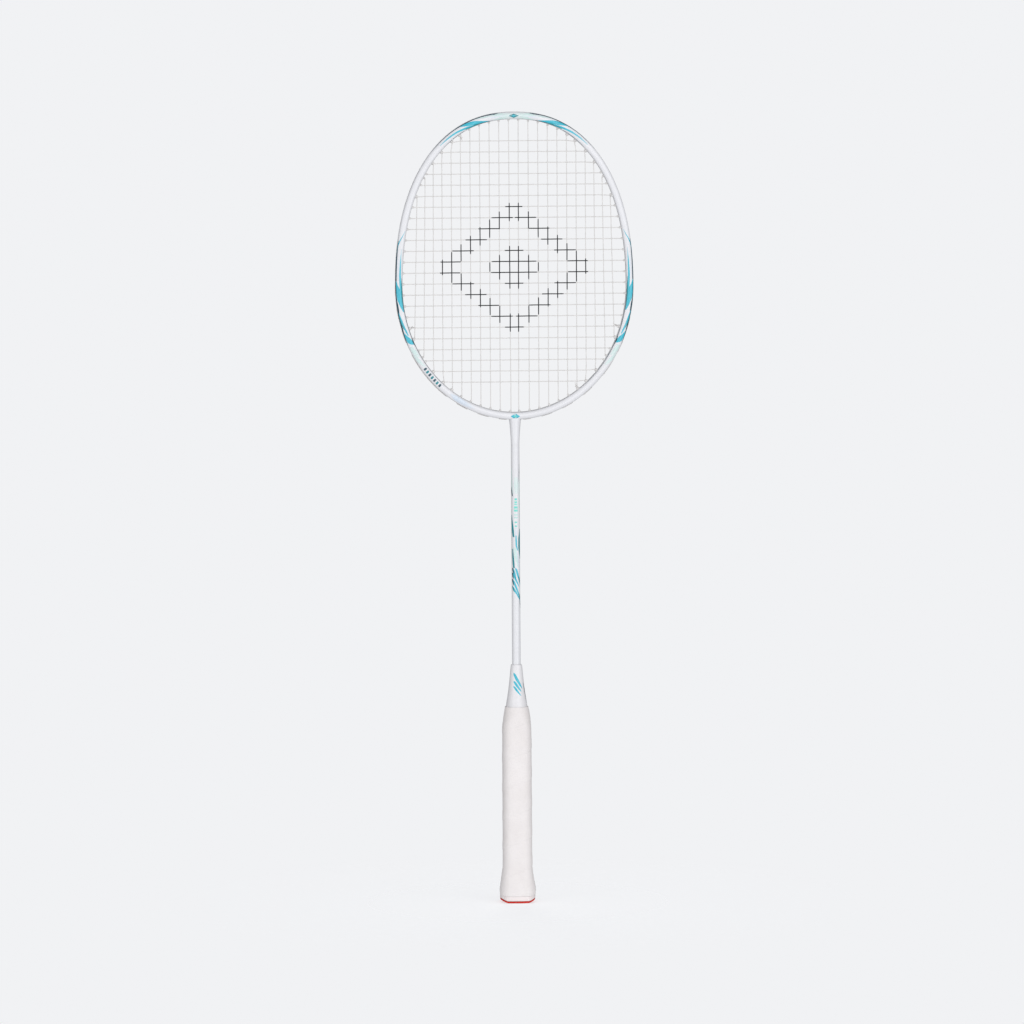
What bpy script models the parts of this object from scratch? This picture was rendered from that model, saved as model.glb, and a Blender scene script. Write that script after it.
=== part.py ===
"""Badminton racket, head up along +Z, string face towards -Y, origin under the middle of the butt.

The hoop's outline is two half superellipses on one width, and everything on the head is placed by
the distance along that outline, clockwise from the top. A place across the hoop's tube is given as a
distance out from its inner wall, and a place through it as y. All sizes are in metres.
"""

import math

import bmesh
import bpy
import numpy as np
from mathutils import Matrix, Vector

MM = 0.001
GAP = 0.3 * MM

# Head outline
LENGTH = 675.0 * MM
HEAD_HALF_WIDTH = 101.4 * MM
HEAD_MIDDLE_Z = 527.0 * MM
HEAD_TOP_RISE = LENGTH - HEAD_MIDDLE_Z
HEAD_BOTTOM_DROP = 113.7 * MM
TOP_FULLNESS = 2.25
BOTTOM_FULLNESS = 2.0

# Hoop tube
TUBE_WIDTH = 6.3 * MM
TUBE_HALF_DEPTH = 5.0 * MM
GROOVE_HALF_WIDTH = 2.2 * MM
GROOVE_FLOOR_HALF_WIDTH = 2.0 * MM
GROOVE_DEPTH = 1.6 * MM
GROOVE_DEPTH_SWING = 0.6 * MM
HOOP_STATIONS = 76

# Strings
STRING_RADIUS = 0.35 * MM
STRING_OFFSET = 0.5 * MM
MAINS_PER_SIDE = 11
MAIN_PITCH = 8.276 * MM
MAIN_TIGHTENING = 0.0025 * MM
FANNED_MAINS = 3
FAN = 0.55 * MM
FAN_POWER = 1.4
CROSSES = 23
CROSS_PITCH = 9.32 * MM
TOP_CROSS_Z = 650.4 * MM
SHARED_HOLE_REACH = 3.9 * MM
KNOT_SCALE = 2.0
BED_INSET = 7.0 * MM

# Grommets, their radii measured to the corners of a hexagon
BORE_RADIUS = 0.75 * MM
BARREL_RADIUS = 1.1 * MM
WIDE_BORE_RADIUS = 1.2 * MM
WIDE_BARREL_RADIUS = 1.55 * MM
HOLE_CLEARANCE = 0.35 * MM
BARREL_PROUD = 1.4 * MM
STRIP_THICKNESS = 0.5 * MM
STRIP_HALF_WIDTH = 1.65 * MM
STRIP_OVERHANG = 1.7 * MM
MOUTH_OUT = -BARREL_PROUD - 0.6 * STRING_RADIUS
HOLE_SIDES = 6

# Throat and shaft
THROAT_SPLAY = 3.3 * MM
THROAT_PROFILE = ((5.3, 417.2), (5.0, 413.0), (4.55, 408.0), (4.1, 402.5), (3.7, 396.0), (3.6, 392.3))
SHAFT_RADIUS = 3.6 * MM
SHAFT_BORE_RADIUS = 2.5 * MM
SHAFT_BOTTOM_Z = 74.0 * MM
SHAFT_TOP_Z = 392.0 * MM
INSERT_RADIUS = 2.2 * MM
INSERT_BOTTOM_Z = 366.0 * MM
INSERT_TOP_Z = 414.5 * MM

# Cone, handle and butt, as (radius, z) or (half width, half depth, z) in millimetres
CONE_OUTSIDE = (
    (4.3, 204.0), (4.75, 203.3), (4.85, 202.2), (5.2, 195.0), (5.9, 188.5),
    (6.8, 181.9), (7.5, 177.6), (8.2, 173.4), (8.75, 170.6), (9.15, 168.4), (9.2, 156.1),
)
CONE_SOCKET_RADIUS = 6.9 * MM
CONE_SOCKET_TOP_Z = 172.3 * MM
SPIGOT_RADIUS = 6.6 * MM
SPIGOT_TOP_Z = 172.0 * MM
CORE_SECTIONS = ((9.3, 7.8, 8.3), (9.3, 7.8, 27.3), (10.9, 9.4, 27.6), (10.9, 9.4, 155.4))
CORE_TOP_Z = 155.8 * MM
BORE_BOTTOM_Z = 73.7 * MM
GRIP_OUTSIDE = (
    (15.25, 13.45, 6.2), (15.5, 13.7, 11.5), (14.7, 13.0, 17.5), (13.5, 11.9, 24.0),
    (12.85, 11.3, 30.0), (12.7, 11.2, 36.0), (12.7, 11.2, 148.0), (12.3, 11.1, 153.5),
)
GRIP_NECK = ((11.7, 157.5), (11.2, 161.0), (10.6, 164.5), (10.1, 167.6))
GRIP_INSIDE_TOP_RADIUS = 9.75 * MM
GRIP_INSIDE = ((11.25, 9.75, 155.9), (11.25, 9.75, 27.5), (12.0, 10.4, 20.0), (13.2, 11.6, 14.5), (13.9, 12.2, 10.0))
CAP_OUTSIDE = ((13.5, 11.8, 6.0), (13.5, 11.8, 10.0), (12.8, 11.2, 14.3), (11.6, 10.0, 19.8), (10.9, 9.4, 27.0))
CAP_SOCKET = ((9.65, 8.15, 27.0), (9.65, 8.15, 8.0))
LIP_HALF_WIDTH = 15.2 * MM
LIP_HALF_DEPTH = 13.4 * MM
LIP_TOP_Z = 5.9 * MM
END_FLAT_HALF_WIDTH = 9.6 * MM
END_FLAT_HALF_DEPTH = 12.6 * MM
END_PLATE_THICKNESS = 1.3 * MM
END_ROUNDING = 0.4 * MM
END_CROWN = 1.3 * MM

# The handle's eight-sided section, as shares of its half width and half depth
CORNER_WIDTH_SHARE = 0.38
CORNER_DEPTH_SHARE = 0.46
CORNER_ROUNDING = 0.9 * MM
FLAT_SHARES = (0.5,)
TURNED_STEPS = 24

PARTS = "badminton_racket"
CUTTERS = "cutters"


# ---------------------------------------------------------------- scene and materials

def clear_scene():
    for obj in list(bpy.data.objects):
        bpy.data.objects.remove(obj, do_unlink=True)
    for name in (PARTS, CUTTERS):
        bpy.context.scene.collection.children.link(bpy.data.collections.new(name))


def material(name, colour, roughness, metallic=0.0):
    made = bpy.data.materials.new(name)
    made.use_nodes = True
    shader = made.node_tree.nodes["Principled BSDF"]
    shader.inputs["Base Color"].default_value = (*colour, 1.0)
    shader.inputs["Roughness"].default_value = roughness
    shader.inputs["Metallic"].default_value = metallic
    made.diffuse_color = (*colour, 1.0)
    return made


def part(name, mesh, surface, smooth_below=35.0):
    """A named sub-part with its own material, its soft edges shaded smooth."""
    mesh.name = name
    mesh.materials.clear()
    mesh.materials.append(surface)
    mesh.shade_smooth()
    mesh.set_sharp_from_angle(angle=math.radians(smooth_below))
    obj = bpy.data.objects.new(name, mesh)
    bpy.data.collections[PARTS].objects.link(obj)
    return obj


def helper(name, mesh):
    """A cutter or a shape to join on, which isn't a part itself."""
    obj = bpy.data.objects.new(name, mesh)
    obj.hide_render = True
    obj.display_type = "WIRE"
    bpy.data.collections[CUTTERS].objects.link(obj)
    return obj


def combine(obj, other, operation):
    modifier = obj.modifiers.new(f"{operation.lower()}_{other.name}", "BOOLEAN")
    modifier.operation = operation
    modifier.object = other


# ---------------------------------------------------------------- the hoop's outline

def outline_points(count):
    """The outer outline as (x, z), clockwise from the top, and each point's distance along it."""
    turn = np.linspace(0.0, 2.0 * math.pi, count + 1)
    side = np.sin(turn)
    rise = np.cos(turn)
    top = rise >= 0.0
    power = 2.0 / np.where(top, TOP_FULLNESS, BOTTOM_FULLNESS)
    x = HEAD_HALF_WIDTH * np.sign(side) * np.abs(side) ** power
    height = np.where(top, HEAD_TOP_RISE, HEAD_BOTTOM_DROP)
    z = HEAD_MIDDLE_Z + height * np.sign(rise) * np.abs(rise) ** power
    steps = np.hypot(np.diff(x), np.diff(z))
    return x, z, np.concatenate([[0.0], np.cumsum(steps)])


OUTLINE_X, OUTLINE_Z, OUTLINE_S = outline_points(20000)
PERIMETER = OUTLINE_S[-1]


def outline_at(s):
    s = s % PERIMETER
    return Vector((np.interp(s, OUTLINE_S, OUTLINE_X), 0.0, np.interp(s, OUTLINE_S, OUTLINE_Z)))


def outward_at(s):
    along = outline_at(s + 0.5 * MM) - outline_at(s - 0.5 * MM)
    return Vector((-along.z, 0.0, along.x)).normalized()


def hoop_point(s, out, y=0.0):
    """A point on the hoop: s along the outline, out from the inner wall, y through the tube."""
    return outline_at(s) + outward_at(s) * (out - TUBE_WIDTH) + Vector((0.0, y, 0.0))


def groove_depth(s):
    """The groove is deepest at the top of the head, where its lips guard the strings."""
    return GROOVE_DEPTH + GROOVE_DEPTH_SWING * math.cos(2.0 * math.pi * s / PERIMETER)


def groove_floor(s):
    return TUBE_WIDTH - groove_depth(s)


def string_level(s):
    """Height of a string's middle where it lies on a grommet strip in the groove."""
    return groove_floor(s) + GAP + STRIP_THICKNESS + GAP + STRING_RADIUS


# ---------------------------------------------------------------- where the strings run

def main_x(index, z):
    """X of a main at height z. Mains count from 1 at the middle, minus on the left."""
    place = abs(index) - 0.5
    x = MAIN_PITCH * place - MAIN_TIGHTENING * place ** 3
    fanned = max(0, abs(index) - (MAINS_PER_SIDE - FANNED_MAINS))
    spread = FAN * fanned ** FAN_POWER if fanned else 0.0
    x += spread * (HEAD_MIDDLE_Z - z) / HEAD_BOTTOM_DROP
    return math.copysign(x, index)


def cross_z(index):
    return TOP_CROSS_Z - CROSS_PITCH * (index - 1)


def crossings(miss):
    """Distances along the right half of the hoop where the grommets' mouths meet a string's line."""
    found = []
    places = np.linspace(0.0, PERIMETER / 2.0, 1500)
    values = [miss(hoop_point(s, MOUTH_OUT)) for s in places]
    for low, high, a, b in zip(places, places[1:], values, values[1:]):
        if (a < 0.0) != (b < 0.0):
            found.append(low + (high - low) * a / (a - b))
    return found


class Hole:
    """One string hole on the right half, and the string ends in it. The left half mirrors it."""

    def __init__(self, s):
        self.s = s
        self.s_out = s
        self.ends = set()
        self.shared = False

    @property
    def wide(self):
        return len({kind for kind, _ in self.ends}) > 1

    @property
    def y(self):
        if self.wide:
            return 0.0
        return string_y(next(iter(self.ends))[0])


def string_y(kind):
    return STRING_OFFSET if kind == "main" else -STRING_OFFSET


def string_holes():
    """The holes from the top round to the throat; ends that nearly meet share one wide hole."""
    ends = []
    for index in range(1, MAINS_PER_SIDE + 1):
        top, bottom = crossings(lambda p, i=index: p.x - main_x(i, p.z))
        ends.append((top, ("main", (index, "top"))))
        ends.append((bottom, ("main", (index, "bottom"))))
    for index in range(1, CROSSES + 1):
        side = crossings(lambda p, i=index: p.z - cross_z(i))[0]
        ends.append((side, ("cross", index)))
    ends.sort(key=lambda end: end[0])
    holes = []
    for s, end in ends:
        if holes and s - holes[-1].s < SHARED_HOLE_REACH:
            holes[-1].s = (holes[-1].s + s) / 2.0
            holes[-1].s_out = holes[-1].s
            holes[-1].shared = True
        else:
            holes.append(Hole(s))
        holes[-1].ends.add(end)
    holes[-1].s_out = holes[-1].s - THROAT_SPLAY
    return holes


def hole_of(holes, end):
    return next(place for place, hole in enumerate(holes) if end in hole.ends)


def mirrored(point, side):
    return Vector((point.x * side, point.y, point.z))


def hole_point(hole, out, y, side=1):
    """A point in a hole, out from the inner wall along the hole's own direction."""
    share = out / TUBE_WIDTH
    inner = hoop_point(hole.s, 0.0, y)
    outer = hoop_point(hole.s_out, TUBE_WIDTH, y)
    return mirrored(inner.lerp(outer, share), side)


# ---------------------------------------------------------------- shared shape makers

def mesh_of(build):
    """A mesh from a function that fills a bmesh, its faces turned outwards."""
    bm = bmesh.new()
    build(bm)
    bmesh.ops.recalc_face_normals(bm, faces=bm.faces)
    mesh = bpy.data.meshes.new("shape")
    bm.to_mesh(mesh)
    bm.free()
    return mesh


def loft(rings, closed):
    """A skin through rings of equal length: a tube bent back on itself, or a body capped at both ends."""

    def build(bm):
        rows = [[bm.verts.new(point) for point in ring] for ring in rings]
        pairs = list(zip(rows, rows[1:]))
        if closed:
            pairs.append((rows[-1], rows[0]))
        for low, high in pairs:
            for i in range(len(low)):
                j = (i + 1) % len(low)
                bm.faces.new((low[i], low[j], high[j], high[i]))
        if not closed:
            bm.faces.new(rows[0])
            bm.faces.new(rows[-1])

    return mesh_of(build)


def turned(name, profile, surface):
    """A body turned about Z from a closed (radius, z) profile that runs down its outer side."""
    mesh = bpy.data.meshes.new(name)
    edges = [(i, (i + 1) % len(profile)) for i in range(len(profile))]
    mesh.from_pydata([(radius, 0.0, z) for radius, z in profile], edges, [])
    screw = part(name, mesh, surface).modifiers.new("turn", "SCREW")
    screw.steps = TURNED_STEPS
    screw.render_steps = TURNED_STEPS
    screw.use_merge_vertices = True
    screw.merge_threshold = 0.0001 * MM
    screw.use_smooth_shade = True


def add_prism(bm, start, end, radius, sides=HOLE_SIDES):
    """A closed prism between two points, one flat facing along Y."""
    axis = end - start
    across = Vector((0.0, 1.0, 0.0))
    third = across.cross(axis).normalized()
    frame = Matrix((third, across, axis.normalized())).transposed().to_4x4()
    frame.translation = (start + end) / 2.0
    bmesh.ops.create_cone(
        bm, cap_ends=True, segments=sides, radius1=radius, radius2=radius, depth=axis.length, matrix=frame
    )


def prisms(rods):
    """One mesh of separate prisms, each given as (start, end, radius)."""

    def build(bm):
        for start, end, radius in rods:
            add_prism(bm, start, end, radius)

    return mesh_of(build)


def cylinder(low_z, high_z, radius, sides=TURNED_STEPS):
    return mesh_of(lambda bm: add_prism(bm, Vector((0, 0, low_z)), Vector((0, 0, high_z)), radius, sides))


# ---------------------------------------------------------------- head frame

def tube_section(s):
    """(out, y) round the hoop's tube at s: a rounded box with the string groove in its outer side."""
    deep = TUBE_HALF_DEPTH
    half = (
        (0.0, 0.38 * deep),
        (0.12 * TUBE_WIDTH, 0.78 * deep),
        (0.4 * TUBE_WIDTH, deep),
        (0.7 * TUBE_WIDTH, 0.95 * deep),
        (0.94 * TUBE_WIDTH, 0.7 * deep),
        (TUBE_WIDTH, GROOVE_HALF_WIDTH),
        (groove_floor(s), GROOVE_FLOOR_HALF_WIDTH),
    )
    return half + tuple((out, -y) for out, y in reversed(half))


def hoop_mesh():
    rings = []
    for station in range(HOOP_STATIONS):
        s = (station + 0.5) * PERIMETER / HOOP_STATIONS
        rings.append([hoop_point(s, out, y) for out, y in tube_section(s)])
    return loft(rings, closed=True)


def throat_rings():
    rings = []
    for radius, z in THROAT_PROFILE:
        angles = [2.0 * math.pi * i / TURNED_STEPS for i in range(TURNED_STEPS)]
        rings.append([Vector((radius * math.cos(a), radius * math.sin(a), z)) * MM for a in angles])
    return rings


def hole_rods(holes):
    rods = []
    for side in (1, -1):
        for hole in holes:
            barrel = WIDE_BARREL_RADIUS if hole.wide else BARREL_RADIUS
            start = hole_point(hole, -TUBE_WIDTH / 2.0, hole.y, side)
            end = hole_point(hole, TUBE_WIDTH * 1.5, hole.y, side)
            rods.append((start, end, barrel + HOLE_CLEARANCE))
    return rods


def make_head_frame(holes, surface):
    frame = part("head_frame", hoop_mesh(), surface)
    combine(frame, helper("throat", loft(throat_rings(), closed=False)), "UNION")
    combine(frame, helper("string_holes", prisms(hole_rods(holes))), "DIFFERENCE")
    joint_bore = cylinder(SHAFT_TOP_Z - 5.0 * MM, INSERT_TOP_Z + GAP, INSERT_RADIUS + GAP, TURNED_STEPS)
    combine(frame, helper("joint_bore", joint_bore), "DIFFERENCE")


# ---------------------------------------------------------------- grommets

def strip_mesh(first, second, side):
    """The flat strip in the groove that carries two barrels."""
    ends = []
    for hole in (first, second):
        ends.append(hoop_point(hole.s_out, groove_floor(hole.s_out) + GAP + STRIP_THICKNESS / 2.0))
    ends = [mirrored(point, side) for point in ends]
    along = ends[1] - ends[0]
    across = Vector((0.0, 1.0, 0.0))
    frame = Matrix((along.normalized(), across, along.cross(across).normalized())).transposed().to_4x4()
    frame.translation = (ends[0] + ends[1]) / 2.0
    size = Vector((along.length + 2.0 * STRIP_OVERHANG, 2.0 * STRIP_HALF_WIDTH, STRIP_THICKNESS))
    scale = Matrix.Diagonal((*size, 1.0))
    return mesh_of(lambda bm: bmesh.ops.create_cube(bm, size=1.0, matrix=frame @ scale))


def barrel_rods(pair, side, bore):
    rods = []
    for hole in pair:
        top = groove_floor(hole.s_out) + GAP + STRIP_THICKNESS
        if bore:
            radius = WIDE_BORE_RADIUS if hole.wide else BORE_RADIUS
            start = hole_point(hole, -BARREL_PROUD - 1.0 * MM, hole.y, side)
            end = hole_point(hole, top + 1.0 * MM, hole.y, side)
        else:
            radius = WIDE_BARREL_RADIUS if hole.wide else BARREL_RADIUS
            start = hole_point(hole, -BARREL_PROUD, hole.y, side)
            end = hole_point(hole, top - STRIP_THICKNESS / 2.0, hole.y, side)
        rods.append((start, end, radius))
    return rods


def make_grommets(holes, surface):
    for side, word in ((1, "right"), (-1, "left")):
        for number in range(len(holes) // 2):
            pair = holes[2 * number:2 * number + 2]
            name = f"grommet_pair_{word}_{number + 1:02d}"
            strip = part(name, strip_mesh(*pair, side), surface)
            combine(strip, helper(f"{name}_barrels", prisms(barrel_rods(pair, side, bore=False))), "UNION")
            combine(strip, helper(f"{name}_bores", prisms(barrel_rods(pair, side, bore=True))), "DIFFERENCE")


# ---------------------------------------------------------------- strings

def bed_point(hole, kind, side):
    """Where a run leaves its own straight line to reach a wide hole that it shares."""
    mouth = hole_point(hole, MOUTH_OUT, string_y(kind))
    index = next(name for owner, name in hole.ends if owner == kind)
    if kind == "cross":
        return Vector((side * (mouth.x - BED_INSET), mouth.y, cross_z(index)))
    index, edge = index
    z = mouth.z + (-BED_INSET if edge == "top" else BED_INSET)
    return Vector((side * main_x(index, z), mouth.y, z))


def down_hole(hole, kind, side, towards):
    """From the string bed out through a hole and round onto the groove's floor."""
    y = string_y(kind)
    level = string_level(hole.s_out)
    turn_in = STRING_RADIUS * 1.45
    corner = hoop_point(hole.s_out + math.copysign(turn_in, towards), level, y)
    return [
        hole_point(hole, MOUTH_OUT, y, side),
        hole_point(hole, level - turn_in, y, side),
        mirrored(corner, side),
    ]


def groove_run(start, end, kind, side_start, side_end):
    """Points along the groove between two holes, given as signed distances from the top."""
    low = start.s_out * side_start
    high = end.s_out * side_end
    if abs(high - low) > PERIMETER / 2.0:
        high += math.copysign(PERIMETER, low)
    steps = max(2, round(abs(high - low) / (5.0 * MM)))
    points = []
    for step in range(1, steps):
        s = low + (high - low) * step / steps
        points.append(hoop_point(s, string_level(s), string_y(kind)))
    return points


def loop(start, end, kind, side_start, side_end):
    """Out of one hole, along the groove and back in through the next."""
    low = start.s_out * side_start
    high = end.s_out * side_end
    if abs(high - low) > PERIMETER / 2.0:
        high += math.copysign(PERIMETER, low)
    forward = 1.0 if high > low else -1.0
    out = down_hole(start, kind, side_start, forward * side_start)
    back = down_hole(end, kind, side_end, -forward * side_end)
    if start.shared:
        out.insert(0, bed_point(start, kind, side_start))
    if end.shared:
        back.insert(0, bed_point(end, kind, side_end))
    return out + groove_run(start, end, kind, side_start, side_end) + back[::-1]


def knot(hole, kind, side):
    """The tied end inside the head, standing off the run that shares the hole: (point, radius scale)."""
    y = string_y(kind)
    inner = -BARREL_PROUD
    return [
        (hole_point(hole, inner - 0.5 * MM, y * 1.4, side), 1.0),
        (hole_point(hole, inner - 1.2 * MM, y * 2.4, side), KNOT_SCALE),
        (hole_point(hole, inner - 2.2 * MM, y * 2.4, side), KNOT_SCALE),
        (hole_point(hole, inner - 2.8 * MM, y * 2.0, side), 1.0),
    ]


def make_string(name, points, surface):
    """A closed cord along (point, radius scale) pairs."""
    curve = bpy.data.curves.new(name, "CURVE")
    curve.dimensions = "3D"
    curve.bevel_depth = STRING_RADIUS
    curve.bevel_resolution = 1
    curve.use_fill_caps = True
    spline = curve.splines.new("POLY")
    spline.points.add(len(points) - 1)
    for target, (point, scale) in zip(spline.points, points):
        target.co = (*point, 1.0)
        target.radius = scale
    curve.materials.append(surface)
    obj = bpy.data.objects.new(name, curve)
    bpy.data.collections[PARTS].objects.link(obj)


def plain(points):
    return [(point, 1.0) for point in points]


def tied_end(start, guest, kind, side):
    """From the last run's hole along the groove into a neighbour's wide hole, ending in a knot."""
    return plain(loop(start, guest, kind, side, side)) + knot(guest, kind, side)


def main_string_points(holes):
    """Up and down across the head from left to right, one continuous string."""
    order = list(range(-MAINS_PER_SIDE, 0)) + list(range(1, MAINS_PER_SIDE + 1))
    end_hole = holes[hole_of(holes, ("main", (MAINS_PER_SIDE, "bottom")))]
    guest = holes[hole_of(holes, ("main", "tie"))]
    points = tied_end(end_hole, guest, "main", -1)[::-1]
    for count, (index, following) in enumerate(zip(order, order[1:])):
        edge = "top" if count % 2 == 0 else "bottom"
        start = holes[hole_of(holes, ("main", (abs(index), edge)))]
        end = holes[hole_of(holes, ("main", (abs(following), edge)))]
        sides = [1 if i > 0 else -1 for i in (index, following)]
        points += plain(loop(start, end, "main", *sides))
    return points + tied_end(end_hole, guest, "main", 1)


def cross_string_points(holes):
    """Left and right across the head from the top down, one continuous string."""
    first = holes[hole_of(holes, ("cross", 1))]
    last = holes[hole_of(holes, ("cross", CROSSES))]
    top_guest = holes[hole_of(holes, ("cross", "top tie"))]
    bottom_guest = holes[hole_of(holes, ("cross", "bottom tie"))]
    points = tied_end(first, top_guest, "cross", -1)[::-1]
    for index in range(1, CROSSES):
        side = 1 if index % 2 else -1
        start = holes[hole_of(holes, ("cross", index))]
        end = holes[hole_of(holes, ("cross", index + 1))]
        points += plain(loop(start, end, "cross", side, side))
    return points + tied_end(last, bottom_guest, "cross", 1)


def add_tie_holes(holes):
    """The neighbours that also take a string's tied end, which makes them wide."""
    main_end = hole_of(holes, ("main", (MAINS_PER_SIDE, "bottom")))
    holes[main_end - 1].ends.add(("main", "tie"))
    holes[hole_of(holes, ("cross", 1)) - 1].ends.add(("cross", "top tie"))
    holes[hole_of(holes, ("cross", CROSSES)) + 1].ends.add(("cross", "bottom tie"))


# ---------------------------------------------------------------- shaft, cone and handle

def handle_ring(half_width, half_depth, height):
    """Points round the handle's eight-sided section, height given as a number or by x."""
    corner_x = CORNER_WIDTH_SHARE * half_width
    corner_y = CORNER_DEPTH_SHARE * half_depth
    quarter = [
        Vector((half_width, half_depth - corner_y)),
        Vector((half_width - corner_x, half_depth)),
    ]
    corners = quarter + [Vector((-p.x, p.y)) for p in reversed(quarter)]
    corners += [Vector((-p.x, -p.y)) for p in corners]
    ring = []
    for i, corner in enumerate(corners):
        following = corners[(i + 1) % len(corners)]
        before = (corners[i - 1] - corner).normalized()
        after = (following - corner).normalized()
        ring += [corner + before * CORNER_ROUNDING, corner + after * CORNER_ROUNDING]
        ring += [corner.lerp(following, share) for share in FLAT_SHARES]
    return [Vector((p.x, p.y, height(p.x) if callable(height) else height)) for p in ring]


def handle_rings(sections):
    return [handle_ring(width * MM, depth * MM, z * MM) for width, depth, z in sections]


def round_ring(radius, z):
    """A round section with its points at the same bearings as the handle's."""
    pattern = handle_ring(radius, radius, 0.0)
    return [Vector((p.x, p.y, 0.0)).normalized() * radius + Vector((0.0, 0.0, z)) for p in pattern]


def crown(level):
    """Height of the butt's end at x: level in the middle, lifting towards the two sides."""

    def height(x):
        beyond = max(0.0, abs(x) - END_FLAT_HALF_WIDTH) / (LIP_HALF_WIDTH - END_FLAT_HALF_WIDTH)
        return level + END_CROWN * beyond

    return height


def make_shaft(surface):
    profile = [
        (SHAFT_RADIUS, SHAFT_TOP_Z),
        (SHAFT_RADIUS, SHAFT_BOTTOM_Z),
        (SHAFT_BORE_RADIUS, SHAFT_BOTTOM_Z),
        (SHAFT_BORE_RADIUS, SHAFT_TOP_Z),
    ]
    turned("shaft", profile, surface)


def make_joint_insert(surface):
    pin = cylinder(INSERT_BOTTOM_Z, INSERT_TOP_Z, INSERT_RADIUS)
    part("t_joint_insert", pin, surface)


def make_cone(surface):
    outside = [(radius * MM, z * MM) for radius, z in CONE_OUTSIDE]
    bottom_z = outside[-1][1]
    inside = [
        (CONE_SOCKET_RADIUS, bottom_z),
        (CONE_SOCKET_RADIUS, CONE_SOCKET_TOP_Z),
        (SHAFT_RADIUS + GAP, CONE_SOCKET_TOP_Z),
        (SHAFT_RADIUS + GAP, outside[0][1]),
    ]
    turned("cone_cap", outside + inside, surface)


def make_handle_core(surface):
    rings = handle_rings(CORE_SECTIONS)
    rings.append(round_ring(SPIGOT_RADIUS, CORE_TOP_Z))
    rings.append(round_ring(SPIGOT_RADIUS, SPIGOT_TOP_Z))
    core = part("handle_core", loft(rings, closed=False), surface, smooth_below=20.0)
    bore = cylinder(BORE_BOTTOM_Z, SPIGOT_TOP_Z + 5.0 * MM, SHAFT_RADIUS + GAP)
    combine(core, helper("shaft_bore", bore), "DIFFERENCE")


def make_grip(surface):
    rings = handle_rings(GRIP_OUTSIDE)
    rings += [round_ring(radius * MM, z * MM) for radius, z in GRIP_NECK]
    rings.append(round_ring(GRIP_INSIDE_TOP_RADIUS, GRIP_NECK[-1][1] * MM))
    rings.append(round_ring(GRIP_INSIDE_TOP_RADIUS, CORE_TOP_Z + 1.4 * MM))
    rings += handle_rings(GRIP_INSIDE)
    rings.append(handle_ring(13.9 * MM, 12.2 * MM, GRIP_OUTSIDE[0][2] * MM))
    part("grip_wrap", loft(rings, closed=True), surface, smooth_below=20.0)


def make_butt(cap_surface, plate_surface):
    under = END_PLATE_THICKNESS
    rings = [
        handle_ring(END_FLAT_HALF_WIDTH, END_FLAT_HALF_DEPTH, under + GAP),
        handle_ring(LIP_HALF_WIDTH, LIP_HALF_DEPTH, crown(under + GAP + END_ROUNDING)),
        handle_ring(LIP_HALF_WIDTH, LIP_HALF_DEPTH, LIP_TOP_Z),
    ]
    rings += handle_rings(CAP_OUTSIDE + CAP_SOCKET)
    part("butt_cap", loft(rings, closed=False), cap_surface, smooth_below=20.0)
    width = LIP_HALF_WIDTH - END_ROUNDING / 2.0
    depth = LIP_HALF_DEPTH - END_ROUNDING / 2.0
    plate = [
        handle_ring(END_FLAT_HALF_WIDTH, END_FLAT_HALF_DEPTH, 0.0),
        handle_ring(width, depth, crown(END_ROUNDING)),
        handle_ring(width, depth, crown(END_ROUNDING + under)),
        handle_ring(END_FLAT_HALF_WIDTH, END_FLAT_HALF_DEPTH, under),
    ]
    part("butt_end_plate", loft(plate, closed=False), plate_surface, smooth_below=20.0)


def main():
    clear_scene()
    holes = string_holes()
    add_tie_holes(holes)
    make_head_frame(holes, material("pearl_white_paint", (0.86, 0.86, 0.87), 0.22))
    make_joint_insert(material("joint_graphite", (0.05, 0.05, 0.055), 0.5))
    make_shaft(material("shaft_paint", (0.84, 0.85, 0.86), 0.22))
    make_cone(material("cone_plastic", (0.83, 0.83, 0.86), 0.3))
    make_handle_core(material("handle_wood", (0.62, 0.45, 0.27), 0.7))
    make_grip(material("grip_polyurethane", (0.85, 0.83, 0.82), 0.6))
    make_butt(material("cap_plastic", (0.88, 0.88, 0.88), 0.35), material("end_red", (0.5, 0.04, 0.03), 0.4))
    string_surface = material("string_nylon", (0.78, 0.78, 0.76), 0.35)
    make_string("main_string", main_string_points(holes), string_surface)
    make_string("cross_string", cross_string_points(holes), string_surface)
    make_grommets(holes, material("grommet_nylon", (0.7, 0.7, 0.7), 0.5))


main()
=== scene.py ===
"""Badminton racket: the looks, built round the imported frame.

Places on the head follow the frame's design. s is the distance along the hoop's outer outline,
clockwise from the top; out is the distance out from the inner wall; y runs through the head, with the
front at -y. All sizes are in metres unless a name ends in _MM or a list says millimetres.
"""

import math

import bmesh
import bpy
import numpy as np
from mathutils import Matrix, Vector


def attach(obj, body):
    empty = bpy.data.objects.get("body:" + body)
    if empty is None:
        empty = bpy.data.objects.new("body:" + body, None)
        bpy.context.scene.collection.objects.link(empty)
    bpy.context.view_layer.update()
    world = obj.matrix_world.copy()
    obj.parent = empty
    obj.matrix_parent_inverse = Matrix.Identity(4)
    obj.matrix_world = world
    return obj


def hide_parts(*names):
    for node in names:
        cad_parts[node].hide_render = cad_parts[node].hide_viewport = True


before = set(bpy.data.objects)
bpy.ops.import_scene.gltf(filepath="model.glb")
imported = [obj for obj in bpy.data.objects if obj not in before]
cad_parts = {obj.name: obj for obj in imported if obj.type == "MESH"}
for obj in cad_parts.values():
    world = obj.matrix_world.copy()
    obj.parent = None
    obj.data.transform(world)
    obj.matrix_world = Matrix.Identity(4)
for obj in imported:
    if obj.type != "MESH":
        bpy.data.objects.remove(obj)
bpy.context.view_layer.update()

MM = 0.001
TURN = 2.0 * math.pi

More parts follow.
